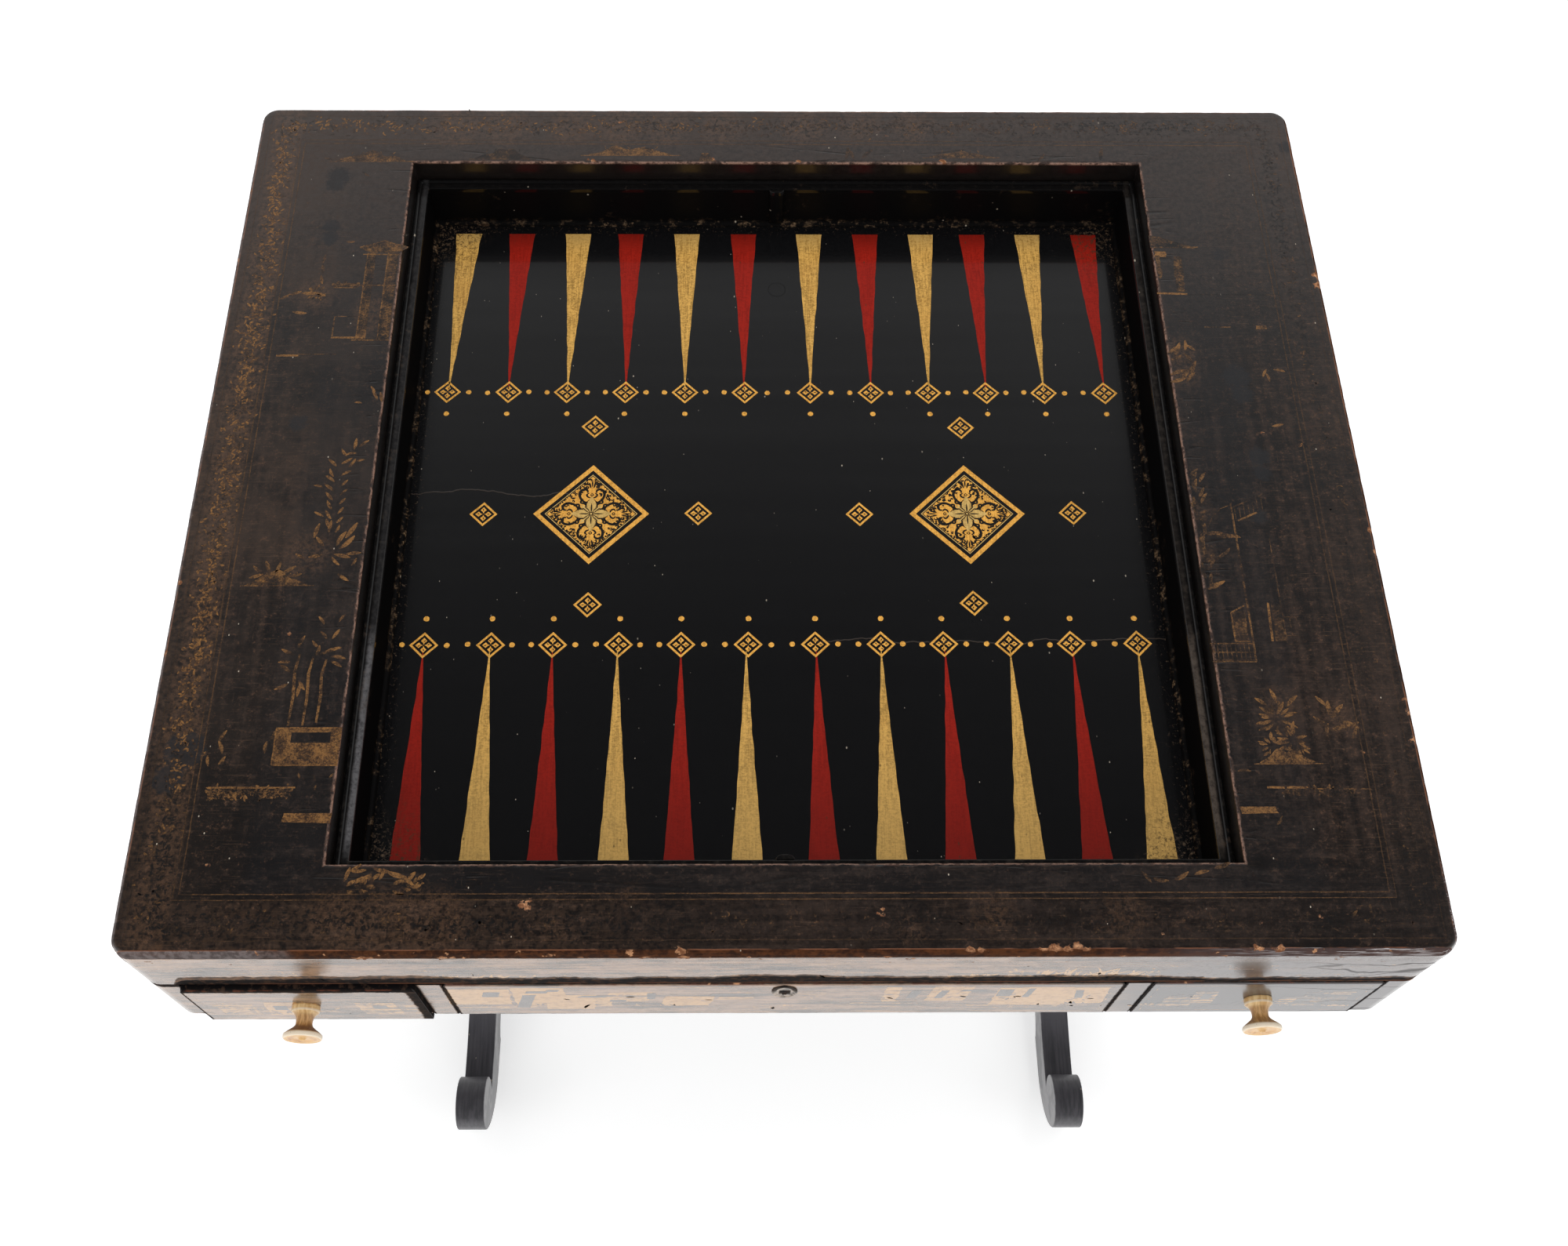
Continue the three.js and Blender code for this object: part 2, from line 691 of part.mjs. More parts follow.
const trestleInner = halfWidth - trestleSetback
const trestleMiddle = trestleInner + footThickness / 2
const bearerUnderside = caseBottom - bearerHeight
const uprightX = span(trestleMiddle, uprightThickness)

// A stub tenon pointing up or down from a shoulder, or its mortise when grown by a gap.
function tenon(shoulder, direction, gap) {
  const far = shoulder + direction * (tenonLength + gap)
  const near = shoulder - direction * overrun
  return box(
    span(trestleMiddle, tenonThickness + 2 * gap), span(0, tenonWidth + 2 * gap),
    [Math.min(far, near), Math.max(far, near)])
}

function stretcherSocket() {
  const radius = stretcherTenonRadius + joineryGap
  const circle = new THREE.Shape().absarc(0, stretcherHeight, radius, 0, 2 * Math.PI)
  const depth = stretcherTenonLength + joineryGap
  return prismAcross(circle, [uprightX[0] - overrun, uprightX[0] + depth], turningFacets)
}

function footBar() {
  const bar = prismAcross(footOutline(), [trestleInner, trestleInner + footThickness])
  return cut(bar, tenon(footSeatHeight, -1, joineryGap))
}

function uprightPlank() {
  const height = bearerUnderside - footSeatHeight
  const edge = uprightOutlineShares.map(([up, out]) =>
    new THREE.Vector2(out * uprightWidth / 2, footSeatHeight + up * height))
  const mirrored = edge.map(({ x, y }) => new THREE.Vector2(-x, y)).reverse()
  const shape = new THREE.Shape()
  shape.moveTo(edge[0].x, edge[0].y)
  shape.splineThru(edge.slice(1))
  shape.lineTo(mirrored[0].x, mirrored[0].y)
  shape.splineThru(mirrored.slice(1))
  shape.closePath()
  const plank = prismAcross(shape, uprightX, arrisFacets)
  const trim = box(
    uprightX, span(0, uprightWidth + 2 * overrun), [footSeatHeight, bearerUnderside])
  return cut(
    join(plank.intersect(trim), tenon(footSeatHeight, -1, 0), tenon(bearerUnderside, 1, 0)),
    stretcherSocket())
}

function bearer() {
  const half = bearerLength / 2
  const quarter = Math.PI / 2
  const shape = new THREE.Shape()
  shape.moveTo(half, caseBottom)
  shape.lineTo(-half, caseBottom)
  shape.absarc(
    -half + bearerEndRadius, bearerUnderside + bearerEndRadius, bearerEndRadius,
    2 * quarter, 3 * quarter)
  shape.absarc(
    half - bearerEndRadius, bearerUnderside + bearerEndRadius, bearerEndRadius, -quarter, 0)
  shape.closePath()
  const rail = prismAcross(shape, span(trestleMiddle, bearerWidth), cornerFacets)
  return cut(rail, tenon(bearerUnderside, 1, joineryGap))
}

function stretcher() {
  const half = uprightX[0]
  const profile = stretcherProfileShares.map(([along, out]) =>
    new THREE.Vector2(out * stretcherRadius, along * half))
  const end = half + stretcherTenonLength
  const rightHalf = [
    ...profile,
    new THREE.Vector2(stretcherTenonRadius, half),
    new THREE.Vector2(stretcherTenonRadius, end),
    new THREE.Vector2(0, end),
  ]
  const leftHalf = rightHalf.slice(1).map(({ x, y }) => new THREE.Vector2(x, -y)).reverse()
  const lathe = new THREE.LatheGeometry([...leftHalf, ...rightHalf], turningFacets)
  return solidOf(lathe.rotateZ(Math.PI / 2)).translate([0, 0, stretcherHeight])
}

function trestle() {
  const parts = { foot_bar: footBar(), upright: uprightPlank(), bearer: bearer() }
  for (const [name, solid] of Object.entries(parts)) {
    piece(`${name}_right`, solid, 'ebonised')
    piece(`${name}_left`, mirrorX(solid), 'ebonised')
  }
  piece('stretcher', stretcher(), 'ebonised')
}

topFrame()
well()
upperTier()
lowerTier()
drawers()
trestle()

// The origin is on the floor under the middle of the whole, knobs and the open drawer included.
const frontReach = lowerTierProud + drawerAjar + knobLength
table.position.y = frontReach / 2

export default table
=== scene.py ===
import math
import random

import bmesh
import bpy
from mathutils import Matrix, Vector, noise


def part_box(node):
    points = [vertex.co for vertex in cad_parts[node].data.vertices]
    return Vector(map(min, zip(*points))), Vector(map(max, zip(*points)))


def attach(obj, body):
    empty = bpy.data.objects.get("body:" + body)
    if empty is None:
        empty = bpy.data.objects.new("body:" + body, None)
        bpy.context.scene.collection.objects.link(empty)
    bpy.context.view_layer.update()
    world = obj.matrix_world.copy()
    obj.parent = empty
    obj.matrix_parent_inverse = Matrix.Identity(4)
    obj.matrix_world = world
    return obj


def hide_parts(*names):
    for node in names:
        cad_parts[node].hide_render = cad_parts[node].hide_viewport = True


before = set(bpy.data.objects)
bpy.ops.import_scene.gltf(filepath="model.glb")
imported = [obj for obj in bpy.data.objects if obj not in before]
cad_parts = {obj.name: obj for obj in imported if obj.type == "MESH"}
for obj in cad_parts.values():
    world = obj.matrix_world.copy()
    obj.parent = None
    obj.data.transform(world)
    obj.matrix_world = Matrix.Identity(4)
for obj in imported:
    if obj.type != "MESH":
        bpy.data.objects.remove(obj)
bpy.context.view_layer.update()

mm = 0.001

# Measures of the table, in millimetres. The plan's x and y start from the middle of the case.
_, board_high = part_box("playing_board")
case_low, case_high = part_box("apron_left")
middle_y = (case_low.y + case_high.y) / 2
half_width = -case_low.x / mm
half_depth = (case_high.y - case_low.y) / 2 / mm
table_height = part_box("top_front")[1].z / mm
top_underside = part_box("top_front")[0].z / mm
seam = case_high.z / mm
case_bottom = case_low.z / mm
board_face = board_high.z / mm
board_half_x = board_high.x / mm
board_half_y = (board_high.y - middle_y) / mm
ledge_inset = 8.5
well_half_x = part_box("well_lining_right")[0].x / mm + ledge_inset
well_half_y = (middle_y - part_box("well_lining_front")[1].y) / mm + ledge_inset
ledge_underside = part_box("ledge_front")[0].z / mm
drawer_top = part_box("centre_drawer_front")[1].z / mm
front = -half_depth
skin = 0.05  # how far painted faces lie inside the CAD's, which leaves room for the paint on them


def at(x, y, z):
    """A point of the table in metres, from plan millimetres."""
    return Vector((x * mm, y * mm + middle_y, z * mm))


# Shader arithmetic

class Tone:
    """A value, colour or direction in a finish; arithmetic on it adds the nodes that work it out."""

    def __init__(self, finish, socket):
        self.finish = finish
        self.socket = socket

    def combine(self, operation, *terms):
        kind = "ShaderNodeMath"
        if any(is_vector(term) for term in terms):
            kind = "ShaderNodeVectorMath"
            terms = [(term,) * 3 if isinstance(term, (int, float)) else term for term in terms]
        return self.finish.add(kind, {"operation": operation}, terms)

    def __neg__(self):
        return self.combine("MULTIPLY", self, -1)

    def __abs__(self):
        return self.combine("ABSOLUTE", self)


for sign, operation in (("add", "ADD"), ("sub", "SUBTRACT"), ("mul", "MULTIPLY"), ("truediv", "DIVIDE")):
    setattr(Tone, f"__{sign}__", lambda one, other, name=operation: one.combine(name, one, other))
    setattr(Tone, f"__r{sign}__", lambda one, other, name=operation: one.combine(name, other, one))


def is_vector(term):
    if isinstance(term, Tone):
        return term.socket.type in ("VECTOR", "RGBA")
    return isinstance(term, tuple)


class Finish:
    """One material, built up node by node."""

    def __init__(self, name, holder=None):
        self.holder = holder or bpy.data.materials.new(name)
        self.holder.use_nodes = True
        self.tree = self.holder.node_tree
        self.tree.nodes.clear()

    def add(self, kind, settings=None, inputs=(), out=0):
        node = self.tree.nodes.new(kind)
        for name, value in (settings or {}).items():
            setattr(node, name, value)
        for key, value in inputs.items() if isinstance(inputs, dict) else enumerate(inputs):
            socket = node.inputs[key]
            if isinstance(value, Tone):
                self.tree.links.new(value.socket, socket)
            elif isinstance(value, tuple) and socket.type == "RGBA":
                socket.default_value = (*value, 1)
            else:
                socket.default_value = value
        return Tone(self, node.outputs[out])

    def place(self):
        return self.add("ShaderNodeTexCoord", out="Object")

    def facing(self):
        """The x, y and z parts of the way the surface looks."""
        return split(self.add("ShaderNodeNewGeometry", out="Normal"))

    def paint_left(self):
        """How much paint each painted shape keeps."""
        return self.add("ShaderNodeAttribute", {"attribute_name": "strength"}, out="Fac")

    def rays(self):
        """Whether a ray comes from the camera, off something shiny or through something clear."""
        path = self.add("ShaderNodeLightPath").socket.node
        return [Tone(self, path.outputs[f"Is {kind} Ray"]) for kind in ("Camera", "Glossy", "Transmission")]

    def shade(self, **inputs):
        """The finish's own shader; a socket's name has its spaces written as underscores."""
        named = {key.replace("_", " "): value for key, value in inputs.items()}
        return self.add("ShaderNodeBsdfPrincipled", None, named)

    def dull(self, share, shader, colour, normal):
        """The same shader with dead matt dirt or bare wood over a share of it."""
        matt = self.shade(Base_Color=colour, Roughness=0.9, IOR=1.06, Normal=normal)
        return self.add("ShaderNodeMixShader", None, [share, shader, matt])

    def close(self, shader, output="ShaderNodeOutputMaterial"):
        self.tree.links.new(shader.socket, self.tree.nodes.new(output).inputs["Surface"])
        return self.holder


def split(vector):
    node = vector.finish.add("ShaderNodeSeparateXYZ", None, [vector]).socket.node
    return [Tone(vector.finish, socket) for socket in node.outputs]


def mottle(place, scale, detail=3, rough=0.55, out="Fac"):
    """Cloudy noise, from 0 to 1."""
    inputs = {"Vector": place, "Scale": scale, "Detail": detail, "Roughness": rough}
    return place.finish.add("ShaderNodeTexNoise", None, inputs, out)


def cells(place, scale, feature="F1"):
    inputs = {"Vector": place, "Scale": scale}
    return place.finish.add("ShaderNodeTexVoronoi", {"feature": feature}, inputs, "Distance")


def ease(value, low, high, start=0, end=1):
    """A soft step from start to end as a value goes from low to high."""
    settings = {"interpolation_type": "SMOOTHSTEP"}
    return value.finish.add("ShaderNodeMapRange", settings, [value, low, high, start, end])


def least(first, *others):
    for other in others:
        first = first.combine("MINIMUM", first, other)
    return first


def most(first, *others):
    for other in others:
        first = first.combine("MAXIMUM", first, other)
    return first


def blend(share, first, second):
    return share.finish.add("ShaderNodeMix", {"data_type": "RGBA"}, {0: share, 6: first, 7: second}, 2)


def bump(height, distance, strength=1):
    inputs = {"Height": height, "Distance": distance, "Strength": strength}
    return height.finish.add("ShaderNodeBump", None, inputs)


# Meshes

def mesh_object(name, points, faces, finish, body, slot, smooth=30):
    mesh = bpy.data.meshes.new(name)
    mesh.from_pydata(points, [], faces)
    mesh.validate()
    mesh.materials.append(finish)
    if smooth:
        mesh.shade_smooth()
        mesh.set_sharp_from_angle(angle=math.radians(smooth))
    piece = bpy.data.objects.new(name, mesh)
    bpy.context.collection.objects.link(piece)
    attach(piece, body)
    return piece


def loft_faces(rows, columns, close_rows=False):
    faces = []
    for row in range(rows if close_rows else rows - 1):
        for column in range(columns):
            following, beside = (row + 1) % rows, (column + 1) % columns
            faces.append((row * columns + column, row * columns + beside, following * columns + beside,
                following * columns + column))
    return faces


def off(u, v, turn, reach):
    """The place that lies a reach away from another, in a direction given in degrees."""
    angle = math.radians(turn)
    return u + reach * math.cos(angle), v + reach * math.sin(angle)


def along(start, end, count):
    """Even steps from one place to another, both of them included."""
    return [tuple(a + (b - a) * step / count for a, b in zip(start, end)) for step in range(count + 1)]


def waver(*place):
    """A smooth random value for a place."""
    return noise.noise(Vector(place))


def rounded_outline(half_x, half_y, radius, corner_steps, side_steps):
    """Points round a rectangle, anticlockwise from the front right; every corner has as many points."""
    x, y = half_x - radius, half_y - radius
    arcs = [[off(*corner, start + 90 * step / corner_steps, radius) for step in range(corner_steps + 1)]
        for *corner, start in ((x, -y, -90), (x, y, 0), (-x, y, 90), (-x, -y, 180))]
    points = []
    for index, arc in enumerate(arcs):
        points += arc + along(arc[-1], arcs[(index + 1) % 4][0], side_steps[index % 2])[1:-1]
    return points


def ring(name, section, finish, slot, corner_steps, side_steps, wear=None):
    """A frame with its section given as rows of (half_x, half_y, corner radius, height)."""
    points = []
    for *sizes, height in section:
        for x, y in rounded_outline(*sizes, corner_steps, side_steps):
            point = Vector((x, y, height))
            points.append(at(*(wear(point) if wear else point)))
    faces = loft_faces(len(section), len(points) // len(section), close_rows=True)
    return mesh_object(name, points, faces, finish, "table", slot, 40)


def slab(name, outline, low, high, place, finish, body, slot, ease=0.6, steps=3, smooth=40):
    """A plank cut to an outline, with its two faces' edges eased. place turns (u, v, w) into metres."""
    def inset(amount):
        count = len(outline)
        moved = []
        for index, (u, v) in enumerate(outline):
            before, after = outline[index - 1], outline[(index + 1) % count]
            first = Vector((u - before[0], v - before[1])).normalized()
            second = Vector((after[0] - u, after[1] - v)).normalized()
            normal = Vector((-first.y - second.y, first.x + second.x))
            scale = amount / max(normal.length_squared / 2, 0.5) if normal.length else 0
            moved.append((u + normal.x * scale, v + normal.y * scale))
        return moved
    rows = []
    for step in range(steps + 1):
        angle = math.pi / 2 * step / steps
        rows.append((ease * (1 - math.sin(angle)), low + ease * (1 - math.cos(angle))))
    rows += [(edge, high + low - height) for edge, height in reversed(rows)]
    points = [place(u, v, height) for edge, height in rows for u, v in inset(edge)]
    count = len(outline)
    faces = loft_faces(len(rows), count)
    faces.append(tuple(reversed(range(count))))
    faces.append(tuple(range(len(points) - count, len(points))))
    return mesh_object(name, points, faces, finish, body, slot, smooth)


def turning(name, profile, sides, place, finish, body, slot, smooth=35):
    """A turned piece from (along, radius) pairs. place turns (along, across, up) into metres."""
    points = []
    for along, radius in profile:
        for side in range(sides):
            angle = 2 * math.pi * side / sides
            points.append(place(along, radius * math.cos(angle), radius * math.sin(angle)))
    faces = loft_faces(len(profile), sides)
    faces.append(tuple(reversed(range(sides))))
    faces.append(tuple(range(len(points) - sides, len(points))))
    return mesh_object(name, points, faces, finish, body, slot, smooth)


def smooth_profile(points, steps):
    """A soft curve through the points, which keeps to each of them."""
    curve = []
    for index in range(len(points) - 1):
        before = points[max(index - 1, 0)]
        start, end = points[index], points[index + 1]
        after = points[min(index + 2, len(points) - 1)]
        for step in range(steps):
            t = step / steps
            curve.append(tuple(0.5 * (2 * b + (c - a) * t + (2 * a - 5 * b + 4 * c - d) * t ** 2
                + (3 * b - a - 3 * c + d) * t ** 3) for a, b, c, d in zip(before, start, end, after)))
    curve.append(points[-1])
    return curve


class Painting:
    """Thin painted shapes on one face of the table, gathered into one piece."""

    def __init__(self, place, seed):
        self.place = place
        self.dice = random.Random(seed)
        self.some = self.dice.uniform
        self.points = []
        self.faces = []
        self.strengths = []

    def add(self, outline, strengths, coat):
        """Shapes that cross each other lie a hair apart, so that neither shadows through the other."""
        start = len(self.points)
        coat += 0.03 * (len(self.faces) % 23)
        self.points.extend(self.place(u, v, coat) for u, v in outline)
        self.strengths.extend(strengths)
        return start

    def shape(self, outline, strength=1.0, coat=0):
        start = self.add(outline, [strength] * len(outline), coat)
        self.faces.append(tuple(range(start, start + len(outline))))

    def band(self, left, right, strength=1.0, coat=0):
        """A strip between two edges with as many points each; two strengths are those of its ends."""
        count = len(left)
        first, last = strength if isinstance(strength, tuple) else (strength, strength)
        strengths = [first + (last - first) * index / (count - 1) for index in range(count)]
        start = self.add([*left, *right], strengths * 2, coat)
        for index in range(start, start + count - 1):
            self.faces.append((index, index + count, index + count + 1, index + 1))

    def block(self, left, low, right, high, strength):
        """A filled upright rectangle."""
        self.band([(left, low), (right, low)], [(left, high), (right, high)], strength)

    def stroke(self, path, width, strength=1.0, coat=0, tip=0.15):
        """A brush stroke along a path, thinner at its two ends."""
        left, right = [], []
        last = len(path) - 1
        for index, (u, v) in enumerate(path):
            before, after = path[max(index - 1, 0)], path[min(index + 1, last)]
            run = Vector((after[0] - before[0], after[1] - before[1]))
            side = Vector((-run.y, run.x)).normalized() if run.length else Vector((0, 1))
            swell = tip + (1 - tip) * math.sin(math.pi * min(max(index / last, 0.02), 0.98)) ** 0.6
            reach = side * width / 2 * swell
            left.append((u + reach.x, v + reach.y))
            right.append((u - reach.x, v - reach.y))
        self.band(right, left, strength, coat)

    def line(self, start, end, width, strength=1.0, coat=0, shake=0.12):
        count = max(2, int(math.dist(start, end) / 4))
        path = [(u + self.some(-shake, shake), v + self.some(-shake, shake))
            for u, v in along(start, end, count)]
        self.stroke(path, width, strength, coat, tip=0.8)

    def lines(self, *rows):
        """Lines, each given as its start, its end, its width, its strength and, if it has one, its coat."""
        for u, v, end_u, end_v, *rest in rows:
            self.line((u, v), (end_u, end_v), *rest)

    def leaf(self, u, v, turn, length, width, strength=1.0, coat=0, bend=0.0):
        """A pointed leaf that starts at a place and runs in a direction; it pales to its tip."""
        path = [off(u, v, turn + bend * step / 5, length * step / 5) for step in range(6)]
        self.stroke(path, width, (strength * 0.6, strength * 1.1), coat, tip=0.05)

    def disc(self, u, v, radius, strength=1.0, coat=0, sides=12, rough=0.08):
        outline = [off(u, v, 360 * side / sides, radius * (1 + self.some(-rough, rough)))
            for side in range(sides)]
        self.shape(outline, strength, coat)

    def lozenge(self, u, v, outer, inner=0):
        """A square standing on its corner, or the frame round one. Sizes run from centre to corner."""
        rim, core = ([off(u, v, turn, reach) for turn in range(0, 361, 90)] for reach in (outer, inner))
        if inner:
            self.band(rim, core)
        else:
            self.shape(rim[:4])

    def curl(self, u, v, turn, size, width, hand=1, strength=1.0, sweep=300):
        """A scroll that winds inward."""
        path = [off(u, v, turn + hand * sweep * step / 14, size * (1 - 0.72 * step / 14))
            for step in range(15)]
        self.stroke(path, width, strength, tip=0.3)

    def piece(self, name, finish, body="table", slot="aged_lacquer"):
        piece = mesh_object(name, self.points, self.faces, finish, body, slot, smooth=0)
        layer = piece.data.attributes.new("strength", "FLOAT", "POINT")
        layer.data.foreach_set("value", self.strengths)


# Camera and room

def add_camera():
    """The photograph is taken as 2000 by 1589 pixels; these values put its edges on the table's."""
    pitch, yaw, roll = (math.radians(angle) for angle in (62.6976, -1.32395, 1.13895))
    forward = Vector((-math.sin(yaw) * math.cos(pitch), math.cos(yaw) * math.cos(pitch), -math.sin(pitch)))
    level = Vector((math.cos(yaw), math.sin(yaw), 0))
    upright = level.cross(forward)
    right = math.cos(roll) * level + math.sin(roll) * upright
    up = -math.sin(roll) * level + math.cos(roll) * upright
    data = bpy.data.cameras.new("camera")
    data.sensor_width = 36
    data.lens = 2028.589 * 36 / 2000
    data.shift_x = 28.8 / 2000
    data.shift_y = 10.27 / 2000
    data.clip_start = 0.05
    camera = bpy.data.objects.new("camera", data)
    bpy.context.collection.objects.link(camera)
    place = at(-23.862, -566.627, table_height + 871.914)
    camera.matrix_world = Matrix(((right.x, up.x, -forward.x, place.x), (right.y, up.y, -forward.y, place.y),
        (right.z, up.z, -forward.z, place.z), (0, 0, 0, 1)))
    bpy.context.scene.camera = camera


def light_room():
    """A white room with a dim ceiling and, over the drawers, a dark place where nothing shines."""
    scene = bpy.context.scene
    scene.world = bpy.data.worlds.new("studio")
    room = Finish("studio", scene.world)
    x, y, z = split(room.add("ShaderNodeTexCoord", out="Generated"))
    seen, glossy, through = room.rays()
    mirrored = most(glossy, through)
    ceiling = ease(z, 0.55, 0.93, 0.62, 0.02)
    wall = ease(z, 0.1, 0.5, 1.05, 0.62)
    above = least(ceiling, wall)
    ahead = -y
    beside = abs(x / most(ahead, 0.001) - 0.0275)
    dark = ease(beside, 0.28, 0.37, 1, 0) * ease(ahead, 0.05, 0.2) * ease(z, -0.12, 0.02)
    gloss = above * (1 - 0.93 * dark)
    level = seen + (1 - seen) * (mirrored * gloss + (1 - mirrored) * 0.55)
    background = room.add("ShaderNodeBackground", None, {"Color": (1, 1, 1), "Strength": level})
    room.close(background, "ShaderNodeOutputWorld")
    add_lamp("overhead", (0.2, 0.35, 2.7), 2.2, 24)
    add_lamp("left_side", (-2.2, -1.2, 1.6), 1.6, 10)
    add_lamp("right_side", (2.2, -1.2, 1.6), 1.6, 8)
    add_lamp("before", (0, -2.6, 1.1), 1.8, 16)


def add_lamp(name, place, size, power):
    data = bpy.data.lights.new(name, "AREA")
    data.shape = "DISK"
    data.size = size
    data.energy = power
    lamp = bpy.data.objects.new(name, data)
    lamp.location = place
    aim = Vector((0, 0, 0.5)) - lamp.location
    lamp.rotation_euler = aim.to_track_quat("-Z", "Y").to_euler()
    lamp.visible_glossy = False
    bpy.context.collection.objects.link(lamp)


def lay_floor():
    """A pale matt floor that is seen and mirrored as white, and still takes the table's shadow."""
    ground = Finish("pale_floor")
    seen, glossy, through = ground.rays()
    seen = most(seen, glossy, through)
    grain = mottle(ground.place(), 3, 2)
    colour = blend(grain, (0.8,) * 3, (0.84,) * 3)
    glow = blend(seen, (0, 0, 0), blend(glossy, (0.48,) * 3, (0.6,) * 3))
    shader = ground.shade(Base_Color=colour, Roughness=0.9, Emission_Color=glow, Emission_Strength=1)
    ground.close(shader)
    reach = 6
    mesh = bpy.data.meshes.new("floor")
    mesh.from_pydata([(-reach, -reach, 0), (reach, -reach, 0), (reach, reach, 0), (-reach, reach, 0)], [],
        [(0, 1, 2, 3)])
    mesh.materials.append(ground.holder)
    floor = bpy.data.objects.new("floor", mesh)
    bpy.context.collection.objects.link(floor)


# Finishes

def plank_marks(place, along):
    """Fine marks that run along one axis, from 0 to 1. along gives the marks' closeness on x, y and z."""
    return mottle(place * along, 1, 4, 0.6)


def specks(place, scale, share):
    """Scattered dust, from 0 to 1, in about that share of the cells."""
    distance = cells(place * (1, 0.6, 1), scale)
    red = split(Tone(place.finish, distance.socket.node.outputs["Color"]))[0]
    return ease(red, 1 - share, 1 - share + 0.01) * ease(distance, 0.2, 0.1)


def near_spots(place, spots, squash=1):
    """How far a point is from the nearest edge of some spots, in metres; below 0 inside one.

    A spot is x, y, height and radius in millimetres. squash is how much place is squashed along x."""
    away = []
    for x, y, height, radius in spots:
        spot = at(x, y, height) * Vector((squash, 1, 1))
        away.append(place.finish.add("ShaderNodeVectorMath", {"operation": "DISTANCE"}, [place, spot],
            "Value") - radius * mm)
    return least(*away)


class Lacquer:
    """The aged brown-black lacquer as node work that other finishes can lie on."""

    def __init__(self, finish, place):
        self.finish = finish
        x, y, z = split(place)
        lengthwise = ease(abs(x) - abs(y - middle_y) - 0.06, -0.002, 0.002)
        clouds = mottle(place, 6, 4, 0.62)
        mottling = mottle(place * (1, 1.3, 1), 140, 8, 0.86)
        self.pepper = pepper = mottle(place, 620, 3, 0.8)
        across = plank_marks(place, (9, 190, 190))
        down = plank_marks(place, (190, 9, 190))
        self.streaks = across * (1 - lengthwise) + down * lengthwise
        scratches = plank_marks(place, (60, 2100, 2100))
        weave = plank_marks(place, (1500, 70, 1500))
        deep = blend(ease(clouds, 0.36, 0.62), (0.0042, 0.0031, 0.0031), (0.0105, 0.006, 0.0043))
        rubbed = ease(mottling * 0.5 + self.streaks * 0.3 + clouds * 0.2, 0.46, 0.6)
        brown = blend(rubbed * 0.7, deep, (0.036, 0.018, 0.0105))
        grains = ease(pepper * 0.5 + mottling * 0.5, 0.53, 0.66)
        brown = blend(grains * 0.75, brown, (0.11, 0.05, 0.023))
        pits = ease(pepper * 0.4 + mottling * 0.3 + self.streaks * 0.3, 0.475, 0.39)
        brown = blend(pits * 0.8, brown, (0.0028, 0.0024, 0.0028))
        lines = most(ease(scratches, 0.6, 0.7), ease(weave, 0.64, 0.74))
        self.colour = blend(lines * 0.3, brown, (0.16, 0.088, 0.048))
        self.roughness = 0.3 + 0.2 * rubbed + 0.1 * grains
        self.height = self.streaks * 0.4 + mottling * 0.7 + pepper * 0.4 + scratches * 0.2 + weave * 0.1


class FrontSheenAndWear:
    """The faces that look forward: pale cream laid into their colour as a painted reflection of the floor,
    with streaks and lying cracks of wear.
    """

    def __init__(self, finish, place, colour, paint=None, deep_paint=None):
        x, y, z = split(place)
        self.ragged = mottle(place, 240, 4, 0.65)
        self.lying = plank_marks(place, (24, 24, 560))
        soft = plank_marks(place + 0.3, (12, 12, 110))
        dapple = mottle(place * (1, 1, 2), 90, 4, 0.7)
        self.forward = ease(-finish.facing()[1], 0.5, 0.95)
        drift = soft * 0.45 + self.lying * 0.25 + dapple * 0.3
        # Painted reflection: the pale cream on forward faces stands in for the floor mirrored in their
        # lacquer; its streaks and dark lying marks are wear.
        pale = blend(ease(drift, 0.4, 0.6), (0.1, 0.072, 0.056), (0.36, 0.225, 0.145))
        dark = ease(self.lying * 0.6 + soft * 0.4, 0.44, 0.36)
        pale = blend(dark * 0.8, pale, (0.022, 0.018, 0.018))
        greyer = ease(x, 0.11, 0.25) * 0.78
        pale = blend(greyer, pale, (0.078, 0.07, 0.074))
        below = ease(x, 0.205, 0.225) * ease(z / mm, seam, seam - 1)
        pale = blend(below * 0.62, pale, (0.04, 0.037, 0.042))
        colour = blend(self.forward, colour, pale)
        if paint:
            kept = finish.paint_left()
            left = ease(self.lying * 0.55 + self.ragged * 0.25 + soft * 0.2 + kept * 0.42, 0.64, 0.76)
            gilt = blend(ease(self.ragged * 0.5 + dapple * 0.5, 0.36, 0.56), deep_paint, paint)
            colour = blend(left * 0.94, colour, gilt)
        crack = ease(self.lying, 0.68, 0.73) * ease(mottle(place + 0.5, 34, 2), 0.48, 0.6)
        wandering = place + (mottle(place, 30, 3, out="Color") - 0.5) * 0.02
        splits = ease(cells(wandering * (4, 4, 36), 1, "DISTANCE_TO_EDGE"), 0.024, 0.004)
        self.cracks = most(crack, splits * ease(x, 0.27, 0.34) * 0.8) * self.forward
        self.colour = blend(self.cracks * 0.9, colour, (0.004, 0.0035, 0.0035))


raw_wood = (0.56, 0.285, 0.145)
dust_colour = (0.42, 0.36, 0.28)


